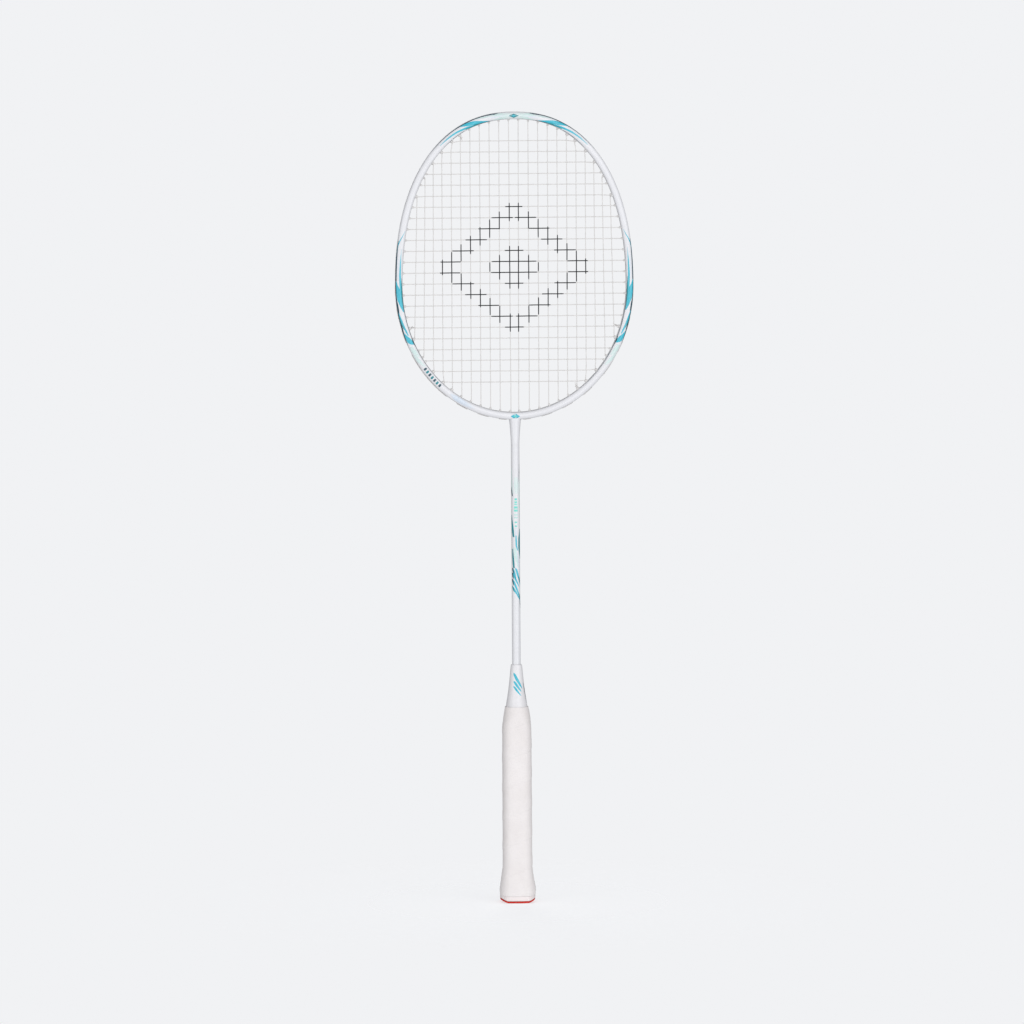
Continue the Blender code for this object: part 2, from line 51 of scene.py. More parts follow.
# The head, as the frame has it
LENGTH = 675.0 * MM
HEAD_HALF_WIDTH = 101.4 * MM
HEAD_MIDDLE_Z = 527.0 * MM
HEAD_TOP_RISE = LENGTH - HEAD_MIDDLE_Z
HEAD_BOTTOM_DROP = 113.7 * MM
TOP_FULLNESS = 2.25
BOTTOM_FULLNESS = 2.0
TUBE_WIDTH = 6.3 * MM
GROOVE_DEPTH = 1.6 * MM
GROOVE_DEPTH_SWING = 0.6 * MM

# Half of the tube's section in millimetres, (out, y), from the inner wall's middle to the groove's lip
SECTION_MM = (
    (0.0, 0.0), (0.0, 2.0), (0.4, 4.1), (2.1, 5.15), (4.4, 5.05), (6.05, 3.9), (6.3, 2.6), (6.3, 2.35),
)
LIP_MM = ((6.22, 2.16), (6.0, 2.08))
GROOVE_HALF_WIDTH = 2.0 * MM
GROOVE_CORNER = 0.25 * MM
TANGENT_STEP = 0.5 * MM

# String holes and grommets; a wide hole carries a main and a cross side by side
HOLE_RADIUS = 1.22 * MM
WIDE_HOLE_RADIUS = 1.72 * MM
CUTTER_START = -3.0 * MM
CUTTER_END = 9.0 * MM
STRIP_HALF_WIDTH = 1.72 * MM
STRIP_HALF_THICKNESS = 0.52 * MM
STRIP_MIDDLE = 0.54 * MM
STRIP_EDGE_POWER = 0.42
STRIP_OVERHANG = 1.75 * MM
STRIP_TAPER = 0.35
STRIP_TAPER_LENGTH = 0.7 * MM

# Strings
STRING_RADIUS = 0.35 * MM
INKED_RADIUS = 0.45 * MM
STRING_OFFSET = 0.5 * MM
WEAVE = 0.36 * MM
MAINS_PER_SIDE = 11
MAIN_PITCH = 8.276 * MM
MAIN_TIGHTENING = 0.0025 * MM
FANNED_MAINS = 3
FAN = 0.55 * MM
FAN_POWER = 1.4
CROSSES = 23
CROSS_PITCH = 9.32 * MM
TOP_CROSS_Z = 650.4 * MM
SHARED_HOLE_REACH = 3.9 * MM
BED_INSET = 7.0 * MM
STRING_STEP = 1.3 * MM
STRING_LEVEL = 1.45 * MM
STRING_BEND = 0.55 * MM
LOOP_STEP = 1.4 * MM
MOUTH_CLEARANCE = 3.0 * MM
BED_HALF_DEPTH = 0.45 * MM
KNOT_TURNS = 2.2
KNOT_RADIUS_MM = 0.62
KNOT_START_MM = 0.7
KNOT_LENGTH_MM = 1.5
LEAST_STEP = 0.02 * MM
BARREL_PROUD = 1.4 * MM
MOUTH_OUT = -BARREL_PROUD - 0.6 * STRING_RADIUS
THROAT_SPLAY = 3.3 * MM
STENCIL_Z = 543.0 * MM
STENCIL_HALF_WIDTH = 69.0 * MM
STENCIL_HALF_HEIGHT = 58.0 * MM
STENCIL_INSIDE = 0.74
STENCIL_CORE = 0.36

# Shaft, cone and handle, as (radius, z) or (half width, half depth, z) in millimetres
SHAFT_RADIUS = 3.6 * MM
SHAFT_TOP_Z = 392.15 * MM
SHAFT_BORE_MM = 2.5
SHAFT_FOOT_MM = 74.0
THROAT_MM = (
    (3.6, 3.6, 392.15), (3.66, 3.65, 395.5), (3.95, 3.8, 400.0), (4.25, 4.05, 404.5),
    (4.6, 4.35, 409.0), (5.0, 4.6, 412.5), (5.5, 4.7, 414.3), (5.9, 4.6, 416.5),
)
CONE_MM = (
    (3.95, 203.9), (4.25, 204.0), (4.6, 203.6), (4.85, 202.5), (5.05, 200.8), (5.5, 196.0), (6.0, 190.6),
    (6.5, 186.0), (7.0, 181.9), (7.6, 177.6), (8.3, 173.4), (8.9, 169.8), (9.2, 167.4), (9.2, 156.2),
)
CONE_INSIDE_MM = ((6.9, 156.2), (6.9, 172.3), (3.68, 172.3), (3.68, 203.5))
GRIP_MM = (
    (15.18, 13.38, 5.97), (15.4, 13.6, 8.5), (15.45, 13.65, 11.5), (14.8, 13.1, 16.5), (13.7, 12.1, 22.0),
    (12.95, 11.4, 28.0), (12.6, 11.1, 35.0), (12.55, 11.05, 146.0), (12.2, 11.0, 152.5), (11.6, 10.8, 157.5),
    (11.05, 10.6, 161.0), (10.5, 10.3, 164.5), (9.95, 9.95, 167.7),
)
GRIP_INSIDE_MM = (
    (9.3, 9.3, 167.0), (9.35, 9.35, 156.6), (11.2, 9.7, 155.8), (11.2, 9.7, 27.5),
    (12.0, 10.4, 20.0), (13.2, 11.6, 14.5), (13.8, 12.1, 10.0), (13.8, 12.1, 6.1),
)
GRIP_ROUND_FROM_Z = 150.0 * MM
GRIP_ROUND_BY_Z = 167.0 * MM
WRAP_PITCH = 25.0 * MM
WRAP_STEP = 0.22 * MM
WRAP_RISE_MM = 0.7
WRAP_FALL_FROM_MM = 6.0
WRAP_FALL_MM = 5.0
WRAP_CALM_LENGTH = 4.0 * MM
HANDLE_COLUMNS = 168
MERGE_DISTANCE = 0.002 * MM
CORNER_WIDTH_SHARE = 0.38
CORNER_DEPTH_SHARE = 0.46
HANDLE_CRISPNESS = 9.0
LIP_HALF_WIDTH = 15.2 * MM
LIP_HALF_DEPTH = 13.4 * MM
END_FLAT_HALF_WIDTH = 9.6 * MM
END_CROWN = 2.3 * MM
END_PLATE_THICKNESS = 1.3 * MM

# The butt's rings in millimetres, as (how far drawn in, height). Heights in CAP_CROWNED_MM and PLATE_TOP_MM
# count from the end plate's thickness, the others from 0. CAP_INSIDE_MM is (half width, half depth, z).
CAP_CROWNED_MM = ((9.0, 0.48), (3.0, 0.48), (0.55, 0.5), (0.18, 0.6), (0.0, 0.85), (0.0, 1.2))
CAP_LIP_MM = ((0.0, 5.4), (0.04, 5.75), (0.3, 5.93))
CAP_INSIDE_MM = (
    (13.5, 11.8, 6.0), (13.5, 11.8, 10.0), (12.8, 11.2, 14.3), (11.6, 10.0, 19.8), (10.9, 9.4, 27.0),
    (9.65, 8.15, 27.0), (9.65, 8.15, 8.0),
)
PLATE_BOTTOM_MM = ((9.0, 0.0), (4.5, 0.0), (0.9, 0.12), (0.45, 0.28), (0.25, 0.55))
PLATE_TOP_MM = ((0.25, 0.1), (0.5, 0.28), (3.0, 0.32), (9.0, 0.32))

# Colours, linear
WHITE_PAINT = (0.745, 0.745, 0.77)
CYAN = (0.03, 0.45, 0.58)
TEAL = (0.004, 0.23, 0.27)
AQUA = (0.11, 0.66, 0.57)
DARK_TEAL = (0.008, 0.06, 0.09)
MINT = (0.50, 0.74, 0.70)
PALE_BLUE = (0.52, 0.64, 0.78)
INK = (0.012, 0.012, 0.014)
FLAKE_BLUE = (0.74, 0.80, 0.90)
STRING_WHITE = (0.73, 0.712, 0.698)
GROMMET_WHITE = (0.69, 0.675, 0.665)
CONE_WHITE = (0.765, 0.755, 0.775)
CAP_WHITE = (0.805, 0.742, 0.735)
END_RED = (0.60, 0.019, 0.006)
GRAPHITE = (0.03, 0.03, 0.033)
GRIP_DARK = (0.782, 0.742, 0.736)
GRIP_LIGHT = (0.832, 0.796, 0.792)
# Painted shade in the grip's pores
GRIP_PORE_SHADE = (0.66, 0.64, 0.63)
GRIP_HANDLED = (0.70, 0.65, 0.62)
GRIP_WORN = (0.66, 0.62, 0.60)
WOOD_DARK = (0.52, 0.34, 0.18)
WOOD_LIGHT = (0.68, 0.49, 0.29)
BACKDROP = (0.879, 0.887, 0.905)
FLOOR_PAPER = (0.86, 0.865, 0.88)


# ---- gathering meshes

class Pile:
    """Grids of points gathered into one mesh, each with a material slot and a fade value per point."""

    def __init__(self):
        self.points = []
        self.faces = []
        self.slots = []
        self.fades = []
        self.count = 0

    def add(self, grid, slot=0, wrap_rows=False, wrap_columns=True, caps=False, fade=None, slots=None):
        """A skin over a grid of points, closed along its rows or columns or capped at both ends."""
        rows, columns = grid.shape[:2]
        index = np.arange(rows * columns).reshape(rows, columns) + self.count
        corners = [index, np.roll(index, -1, 1), np.roll(np.roll(index, -1, 0), -1, 1), np.roll(index, -1, 0)]
        last_row = rows if wrap_rows else rows - 1
        last_column = columns if wrap_columns else columns - 1
        quads = np.stack([c[:last_row, :last_column] for c in corners], -1)
        chosen = np.full(quads.shape[:2], slot)
        if slots is not None:
            chosen[:] = slots[:, None]
        self.faces += quads.reshape(-1, 4).tolist()
        self.slots += chosen.reshape(-1).tolist()
        if caps:
            self.faces += [index[0].tolist()[::-1], index[-1].tolist()]
            self.slots += [int(chosen[0, 0]), int(chosen[-1, 0])]
        self.points.append(grid.reshape(-1, 3))
        values = np.zeros((rows, columns)) if fade is None else np.broadcast_to(fade, (rows, columns))
        self.fades.append(values.reshape(-1))
        self.count += rows * columns

    def mesh(self, name):
        mesh = bpy.data.meshes.new(name)
        mesh.from_pydata(np.concatenate(self.points).tolist(), [], self.faces)
        mesh.polygons.foreach_set("material_index", self.slots)
        attribute = mesh.attributes.new("fade", "FLOAT", "POINT")
        attribute.data.foreach_set("value", np.concatenate(self.fades).astype(np.float32))
        bm = bmesh.new()
        bm.from_mesh(mesh)
        bmesh.ops.recalc_face_normals(bm, faces=bm.faces)
        bm.to_mesh(mesh)
        bm.free()
        return mesh


def skin(name, grid, **how):
    """The mesh of a single grid."""
    pile = Pile()
    pile.add(grid, **how)
    return pile.mesh(name)


def piece(name, mesh, materials, nodes=(), smooth_below=35.0):
    """A finished piece on the racket's one body, standing for the CAD nodes named."""
    mesh.name = name
    for material in materials:
        mesh.materials.append(material)
    mesh.shade_smooth()
    mesh.set_sharp_from_angle(angle=math.radians(smooth_below))
    obj = bpy.data.objects.new(name, mesh)
    bpy.context.scene.collection.objects.link(obj)
    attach(obj, "root")
    if nodes:
        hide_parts(*nodes)
    return obj


def boolean(base, other, operation):
    """The base mesh joined with or cut by another, as a new mesh."""
    objects = [bpy.data.objects.new("operand", mesh) for mesh in (base, other)]
    for obj in objects:
        bpy.context.scene.collection.objects.link(obj)
    modifier = objects[0].modifiers.new("boolean", "BOOLEAN")
    modifier.operation = operation
    modifier.solver = "MANIFOLD"
    modifier.object = objects[1]
    graph = bpy.context.evaluated_depsgraph_get()
    made = bpy.data.meshes.new_from_object(objects[0].evaluated_get(graph))
    for obj in objects:
        bpy.data.objects.remove(obj)
    return made


def bearings(count):
    """Angles evenly spaced round a circle."""
    return np.arange(count) * TURN / count


def polyline(points, count):
    """Count points evenly spaced along a polyline."""
    points = np.asarray(points, float)
    steps = np.linalg.norm(np.diff(points, axis=0), axis=1)
    along = np.concatenate([[0.0], np.cumsum(steps)])
    where = np.linspace(0.0, along[-1], count)
    return np.stack([np.interp(where, along, column) for column in points.T], -1)


def rounded(points, times=3):
    """A polyline with its corners cut again and again, its ends kept."""
    points = np.asarray(points, float)
    for _ in range(times):
        low = points[:-1] * 0.75 + points[1:] * 0.25
        high = points[:-1] * 0.25 + points[1:] * 0.75
        middle = np.stack([low, high], 1).reshape(-1, points.shape[1])
        points = np.concatenate([points[:1], middle[1:-1], points[-1:]])
    return points


# ---- the hoop's outline and holes

def outline_table(count):
    turn = np.linspace(0.0, TURN, count + 1)
    side = np.sin(turn)
    rise = np.cos(turn)
    top = rise >= 0.0
    power = 2.0 / np.where(top, TOP_FULLNESS, BOTTOM_FULLNESS)
    height = np.where(top, HEAD_TOP_RISE, HEAD_BOTTOM_DROP)
    x = HEAD_HALF_WIDTH * np.sign(side) * np.abs(side) ** power
    z = HEAD_MIDDLE_Z + height * np.sign(rise) * np.abs(rise) ** power
    return x, z, np.concatenate([[0.0], np.cumsum(np.hypot(np.diff(x), np.diff(z)))])


OUTLINE_X, OUTLINE_Z, OUTLINE_S = outline_table(20000)
PERIMETER = OUTLINE_S[-1]


def outline(s):
    s = np.mod(s, PERIMETER)
    return np.interp(s, OUTLINE_S, OUTLINE_X), np.interp(s, OUTLINE_S, OUTLINE_Z)


def hoop(s, out, y):
    """Points on the hoop; s, out and y may be numbers or arrays."""
    s, out, y = np.broadcast_arrays(np.asarray(s, float), out, y)
    x, z = outline(s)
    before_x, before_z = outline(s - TANGENT_STEP)
    after_x, after_z = outline(s + TANGENT_STEP)
    along_x = after_x - before_x
    along_z = after_z - before_z
    length = np.hypot(along_x, along_z)
    shift = out - TUBE_WIDTH
    return np.stack([x - along_z / length * shift, y, z + along_x / length * shift], -1)


def groove_floor(s):
    return TUBE_WIDTH - GROOVE_DEPTH - GROOVE_DEPTH_SWING * np.cos(TURN * np.asarray(s) / PERIMETER)


def string_level(s):
    return groove_floor(s) + STRING_LEVEL


def main_x(index, z):
    """X of a main at height z. Mains count from 1 at the middle, minus on the left."""
    place = abs(index) - 0.5
    x = MAIN_PITCH * place - MAIN_TIGHTENING * place ** 3
    fanned = max(0, abs(index) - (MAINS_PER_SIDE - FANNED_MAINS))
    x = x + (FAN * fanned ** FAN_POWER if fanned else 0.0) * (HEAD_MIDDLE_Z - z) / HEAD_BOTTOM_DROP
    return x if index > 0 else -x


def cross_z(index):
    return TOP_CROSS_Z - CROSS_PITCH * (index - 1)


def crossings(miss):
    places = np.linspace(0.0, PERIMETER / 2.0, 1500)
    values = miss(hoop(places, MOUTH_OUT, 0.0))
    turns = np.nonzero((values[:-1] < 0.0) != (values[1:] < 0.0))[0]
    return [places[i] + (places[i + 1] - places[i]) * values[i] / (values[i] - values[i + 1]) for i in turns]


class Hole:
    """One string hole on the right half, and the string ends in it. The left half mirrors it."""

    def __init__(self, s):
        self.s = s
        self.s_out = s
        self.ends = set()
        self.shared = False

    @property
    def wide(self):
        return len({kind for kind, _ in self.ends}) > 1

    @property
    def y(self):
        return 0.0 if self.wide else string_y(next(iter(self.ends))[0])

    def at(self, out, y, side=1):
        """A point in the hole, out from the inner wall along the hole's own direction."""
        inner = hoop(self.s, 0.0, y)
        outer = hoop(self.s_out, TUBE_WIDTH, y)
        return (inner + (outer - inner) * (out / TUBE_WIDTH)) * (side, 1.0, 1.0)


def string_y(kind):
    return STRING_OFFSET if kind == "main" else -STRING_OFFSET


def string_holes():
    ends = []
    for index in range(1, MAINS_PER_SIDE + 1):
        top, bottom = crossings(lambda p, i=index: p[:, 0] - main_x(i, p[:, 2]))
        ends += [(top, ("main", (index, "top"))), (bottom, ("main", (index, "bottom")))]
    for index in range(1, CROSSES + 1):
        ends.append((crossings(lambda p, i=index: p[:, 2] - cross_z(i))[0], ("cross", index)))
    ends.sort(key=lambda end: end[0])
    found = []
    for s, end in ends:
        if found and s - found[-1].s < SHARED_HOLE_REACH:
            found[-1].s = (found[-1].s + s) / 2.0
            found[-1].s_out = found[-1].s
            found[-1].shared = True
        else:
            found.append(Hole(s))
        found[-1].ends.add(end)
    found[-1].s_out = found[-1].s - THROAT_SPLAY
    place = {end: number for number, hole in enumerate(found) for end in hole.ends}
    found[place["main", (MAINS_PER_SIDE, "bottom")] - 1].ends.add(("main", "tie"))
    found[place["cross", 1] - 1].ends.add(("cross", "top tie"))
    found[place["cross", CROSSES] + 1].ends.add(("cross", "bottom tie"))
    return found


holes = string_holes()
hole_of = {end: hole for hole in holes for end in hole.ends}


# ---- materials

GLOSS_SWING = 0.06


def shader_of(name):
    material = bpy.data.materials.new(name)
    material.use_nodes = True
    return material, material.node_tree, material.node_tree.nodes["Principled BSDF"]


def connect(tree, made, inputs):
    """Gives each input of a node its socket or its value."""
    for key, value in inputs.items():
        if isinstance(value, bpy.types.NodeSocket):
            tree.links.new(value, made.inputs[key])
        else:
            made.inputs[key].default_value = value


def node(tree, kind, inputs=None, **settings):
    made = tree.nodes.new(kind)
    for key, value in settings.items():
        setattr(made, key, value)
    connect(tree, made, inputs or {})
    return made


def place_of(tree, stretch=(1.0, 1.0, 1.0)):
    """Object coordinates, stretched."""
    coordinates = node(tree, "ShaderNodeTexCoord").outputs["Object"]
    return node(tree, "ShaderNodeMapping", {"Vector": coordinates, "Scale": stretch}).outputs["Vector"]


def noise(tree, size, detail=3.0, stretch=(1.0, 1.0, 1.0)):
    """Noise from 0 to 1 whose features are about size metres across."""
    inputs = {"Vector": place_of(tree, stretch), "Scale": 1.0 / size, "Detail": detail, "Roughness": 0.55}
    return node(tree, "ShaderNodeTexNoise", inputs).outputs["Fac"]


def ranged(tree, value, low, high, from_low=0.3, from_high=0.7):
    inputs = {"Value": value, "From Min": from_low, "From Max": from_high, "To Min": low, "To Max": high}
    return node(tree, "ShaderNodeMapRange", inputs).outputs["Result"]


def mixed(tree, factor, first, second):
    """Two colours mixed, each given as numbers or a socket."""
    made = node(tree, "ShaderNodeMix", data_type="RGBA")
    for socket, value in zip((made.inputs[0], made.inputs[6], made.inputs[7]), (factor, first, second)):
        if isinstance(value, bpy.types.NodeSocket):
            tree.links.new(value, socket)
        else:
            socket.default_value = value if isinstance(value, float) else (*value[:3], 1.0)
    return made.outputs[2]


def scaled(colour, factor):
    return tuple(channel * factor for channel in colour)


def arithmetic(tree, operation, first, second):
    return node(tree, "ShaderNodeMath", {0: first, 1: second}, operation=operation).outputs[0]


def bumps(tree, height, strength, depth):
    inputs = {"Height": height, "Strength": strength, "Distance": depth}
    return node(tree, "ShaderNodeBump", inputs).outputs["Normal"]


def cells(tree, size, output):
    """A value or colour of cells about size metres across."""
    inputs = {"Vector": place_of(tree), "Scale": 1.0 / size}
    return node(tree, "ShaderNodeTexVoronoi", inputs).outputs[output]


def edge_wear(tree, most):
    """How worn a point is, up to most: the convex edges, broken up by noise."""
    edge = ranged(tree, node(tree, "ShaderNodeNewGeometry").outputs["Pointiness"], 0.0, most, 0.515, 0.58)
    patchy = ranged(tree, noise(tree, 0.8 * MM, 4.0), 0.0, 1.0, 0.42, 0.62)
    return arithmetic(tree, "MULTIPLY", edge, patchy)


def finish(name, colour, roughness, variation=0.03, grain=0.4, grain_depth=0.02, coat=0.0, fade=None,
           blotch=18.0, specular=0.5):
    """A surface with soft tone changes, uneven gloss, edge wear and a fine grain; lengths in millimetres."""
    material, tree, shader = shader_of(name)
    tone = ranged(tree, noise(tree, blotch * MM), 0.0, 1.0)
    base = mixed(tree, tone, scaled(colour, 1.0 - variation), scaled(colour, 1.0 + variation))
    if fade is not None:
        amount = node(tree, "ShaderNodeAttribute", attribute_name="fade").outputs["Fac"]
        base = mixed(tree, amount, base, fade)
    wear = edge_wear(tree, 0.35)
    gloss = ranged(tree, noise(tree, 2.3 * MM, 4.0), roughness - GLOSS_SWING, roughness + GLOSS_SWING)
    connect(tree, shader, {
        "Base Color": mixed(tree, wear, base, scaled(colour, 0.78)),
        "Roughness": arithmetic(tree, "ADD", gloss, wear),
        "Normal": bumps(tree, noise(tree, grain * MM, 2.0), 0.6, grain_depth * MM),
        "Coat Weight": coat,
        "Coat Roughness": 0.06,
        "Specular IOR Level": specular,
    })
    return material


def pearl(name, colour):
    """White lacquer with fine pearl flakes, a slight orange peel, light scuffs and a clear coat."""
    material, tree, shader = shader_of(name)
    drift = ranged(tree, noise(tree, 30.0 * MM, 2.0), 0.0, 1.0)
    base = mixed(tree, drift, scaled(colour, 0.975), scaled(colour, 1.02))
    flake = cells(tree, 0.16 * MM, "Color")
    spark = node(tree, "ShaderNodeSeparateColor", {"Color": flake}).outputs["Red"]
    base = mixed(tree, ranged(tree, spark, 0.0, 0.35, 0.75, 1.0), base, FLAKE_BLUE)
    scuffs = ranged(tree, noise(tree, 1.6 * MM, 5.0, (1.0, 1.0, 7.0)), 0.0, 0.12, 0.6, 0.72)
    worn = arithmetic(tree, "ADD", edge_wear(tree, 0.3), scuffs)
    gloss = ranged(tree, spark, 0.24, 0.42, 0.0, 1.0)
    connect(tree, shader, {
        "Base Color": mixed(tree, worn, base, scaled(colour, 0.8)),
        "Roughness": arithmetic(tree, "ADD", gloss, worn),
        "Normal": bumps(tree, noise(tree, 1.1 * MM, 1.0), 0.35, 0.02 * MM),
        "Coat Weight": 0.55,
        "Coat Roughness": 0.05,
        "Specular IOR Level": 0.4,
    })
    return material


def grip_surface():
    """Soft polyurethane: small pores holding painted shade, a slightly hairy grain, faint handling marks and
    edge wear.
    """
    material, tree, shader = shader_of("grip_polyurethane")
    drift = ranged(tree, noise(tree, 22.0 * MM), 0.0, 1.0)
    base = mixed(tree, drift, GRIP_DARK, GRIP_LIGHT)
    # The pores are pressed in by the bump and darkened in colour as painted shade.
    pit = ranged(tree, cells(tree, 0.7 * MM, "Distance"), 0.0, 1.0, 0.05, 0.35)
    base = mixed(tree, pit, GRIP_PORE_SHADE, base)
    handled = ranged(tree, noise(tree, 14.0 * MM, 4.0, (1.0, 1.0, 0.5)), 0.0, 0.16, 0.52, 0.68)
    base = mixed(tree, handled, base, GRIP_HANDLED)
    fine = noise(tree, 0.35 * MM)
    connect(tree, shader, {
        "Base Color": mixed(tree, edge_wear(tree, 0.3), base, GRIP_WORN),
        "Roughness": ranged(tree, noise(tree, 3.0 * MM), 0.5, 0.68),
        "Normal": bumps(tree, arithmetic(tree, "ADD", pit, fine), 0.5, 0.06 * MM),
        "Sheen Weight": 0.15,
        "Sheen Roughness": 0.5,
        "Specular IOR Level": 0.3,
    })
    return material


def wood_surface():
    """Light straight-grained wood, its rings running up the handle."""
    material, tree, shader = shader_of("handle_wood")
    rings = node(tree, "ShaderNodeTexWave", {
        "Vector": place_of(tree, (1.0, 1.0, 0.06)), "Scale": 90.0, "Distortion": 4.0, "Detail": 3.0,
    }).outputs["Fac"]
    connect(tree, shader, {
        "Base Color": mixed(tree, rings, WOOD_DARK, WOOD_LIGHT),
        "Roughness": ranged(tree, noise(tree, 1.5 * MM), 0.6, 0.78),
        "Normal": bumps(tree, rings, 0.4, 0.08 * MM),
    })
    return material


def decal_surface(name, colour):
    return finish(
        name, colour, 0.3, variation=0.06, grain=0.9, grain_depth=0.01, coat=0.55, fade=WHITE_PAINT,
        blotch=6.0,
    )


PAINT = pearl("pearl_white_lacquer", WHITE_PAINT)
# The groove's satin finish, its colour 0.8 of the white paint: painted shade in the recess.
GROOVE_PAINTED_SHADE = finish("groove_painted_shade", scaled(WHITE_PAINT, 0.8), 0.5, variation=0.05)
DECALS = {
    "cyan": decal_surface("decal_cyan", CYAN),
    "teal": decal_surface("decal_teal", TEAL),
    "dark": decal_surface("decal_dark_teal_and_painted_shade", DARK_TEAL),
    # Dark teal print; the long film along the inner edge on the sides is partly painted shade.
    "mint": decal_surface("decal_mint", MINT),
    "aqua": decal_surface("decal_aqua", AQUA),
    "blue": decal_surface("decal_pale_blue", PALE_BLUE),
}
DECAL_NAMES = list(DECALS)
STRING = finish("string_nylon", STRING_WHITE, 0.34, variation=0.04, grain=0.3, grain_depth=0.01, blotch=9.0)
STRING_INK = finish("string_ink", INK, 0.55, variation=0.3, grain=0.25, grain_depth=0.01, blotch=2.0)
GROMMET = finish("grommet_nylon", GROMMET_WHITE, 0.42, variation=0.05, grain=0.25, blotch=4.0)


# ---- head frame

def outer_half_section(count=20):
    """(out, y) along the tube's rounded side, from the inner wall's middle to the groove's lip."""
    return polyline(rounded(SECTION_MM), count) * MM


SIDE = outer_half_section()
SIDE_SHARE = np.linspace(0.0, 1.0, len(SIDE))


def side_share(out):
    """How far round the tube's side a place out from the inner wall is, past that wall's flat."""
    beyond = np.argmax(SIDE[:, 0] > 0.02 * MM) - 1
    return np.interp(out, SIDE[beyond:, 0], SIDE_SHARE[beyond:])


def hoop_shell(stations=560):
    s = np.arange(stations) * PERIMETER / stations
    floor = groove_floor(s)
    lip = np.array(LIP_MM) * MM
    outs = [np.full(stations, out) for out in SIDE[:, 0]] + [np.full(stations, out) for out in lip[:, 0]]
    ys = list(SIDE[:, 1]) + list(lip[:, 1])
    outs += [floor + GROOVE_CORNER, floor, floor]
    ys += [GROOVE_HALF_WIDTH, 0.88 * GROOVE_HALF_WIDTH, 0.4 * GROOVE_HALF_WIDTH]
    half = len(ys)
    out = np.stack(outs + outs[:0:-1], -1)
    y = np.array([-value for value in ys] + ys[:0:-1])
    groove_start = len(SIDE) + 1
    groove_end = 2 * half - len(SIDE) - 3
    # These columns, the groove's faces, take the second slot: the darker groove finish that paints its shade.
    in_groove = [int(groove_start <= column <= groove_end) for column in range(2 * half - 1)]
    pile = Pile()
    pile.add(hoop(s[:, None], out, y[None, :]), wrap_rows=True)
    pile.slots = np.tile(in_groove, stations).tolist()
    return pile.mesh("hoop")


def oval_grid(rows_mm, columns):
    """A grid round the z axis from rows of (half width, half depth, z) in millimetres."""
    rows = np.asarray(rows_mm) * MM
    bearing = bearings(columns)
    return np.stack([
        rows[:, :1] * np.cos(bearing), rows[:, 1:2] * np.sin(bearing), rows[:, 2:] + 0.0 * bearing,
    ], -1)


def throat_shell(rows=30, columns=72):
    return skin("throat", oval_grid(polyline(rounded(THROAT_MM, 2), rows), columns), caps=True)


def ring_about(axis):
    """Two unit vectors square to an axis that lies in the head's plane."""
    along = axis / np.linalg.norm(axis)
    across = np.array([0.0, 1.0, 0.0])
    return np.cross(across, along), across


def turned_grid(start, direction, profile, sides):
    """A grid turned about a line from a list of (radius, distance along the line)."""
    first, second = ring_about(direction)
    unit = direction / np.linalg.norm(direction)
    bearing = bearings(sides)
    circle = np.cos(bearing)[:, None] * first + np.sin(bearing)[:, None] * second
    profile = np.asarray(profile)
    return start + profile[:, None, :1] * circle + profile[:, None, 1:] * unit


def each_hole():
    for side in (1, -1):
        for hole in holes:
            yield side, hole


def hole_cutters(sides=20):
    pile = Pile()
    for side, hole in each_hole():
        radius = WIDE_HOLE_RADIUS if hole.wide else HOLE_RADIUS
        start = hole.at(0.0, hole.y, side)
        direction = hole.at(TUBE_WIDTH, hole.y, side) - start
        profile = [(radius, CUTTER_START), (radius, CUTTER_END)]
        pile.add(turned_grid(start, direction, profile, sides), caps=True)
    return pile.mesh("holes")


def make_head_frame():
    shell = boolean(hoop_shell(), throat_shell(), "UNION")
    shell = boolean(shell, hole_cutters(), "DIFFERENCE")
    shell.materials.clear()
    piece("head_frame_shell", shell, [PAINT, GROOVE_PAINTED_SHADE], ["head_frame"], smooth_below=38.0)


# ---- graphics on the hoop

DECAL_LIFT = 1.007
DECAL_ROOT = 0.994
DECAL_STACK = 0.0002


def spread(rows, step):
    """Rows of (place, low, high, fade) filled in between at an even step along the first value."""
    rows = np.asarray(rows, float)
    count = max(3, int((rows[-1, 0] - rows[0, 0]) / step) + 1)
    where = np.linspace(rows[0, 0], rows[-1, 0], count)
    return [where] + [np.interp(where, rows[:, 0], column) for column in rows.T[1:]]


def add_film(pile, colour, skins, fade):
    """A closed film from its outer and inner skins."""
    grid = np.concatenate([skins[0], skins[1][:, ::-1]], 1)
    pile.add(grid, DECAL_NAMES.index(colour), caps=True, fade=fade[:, None])


def hoop_decal(pile, colour, rows, side, face, order=0, across=6):
    """A thin closed film on the tube. Rows are (s, inner out, outer out, fade) in millimetres."""
    s, low, high, fade = spread([(*row, 0.0)[:4] for row in rows], 0.7)
    high = np.maximum(high, low + 0.05)
    share = np.linspace(0.0, 1.0, across)
    around = side_share(low * MM)[:, None] * (1 - share) + side_share(high * MM)[:, None] * share
    out = np.interp(around, SIDE_SHARE, SIDE[:, 0])
    y = np.interp(around, SIDE_SHARE, SIDE[:, 1])
    middle = TUBE_WIDTH / 2.0
    skins = []
    for swell in (DECAL_LIFT + DECAL_STACK * order, DECAL_ROOT):
        grid = hoop(s[:, None] * MM, middle + (out - middle) * swell, -y * swell)
        skins.append(grid * (side, face, 1.0))
    add_film(pile, colour, skins, fade)


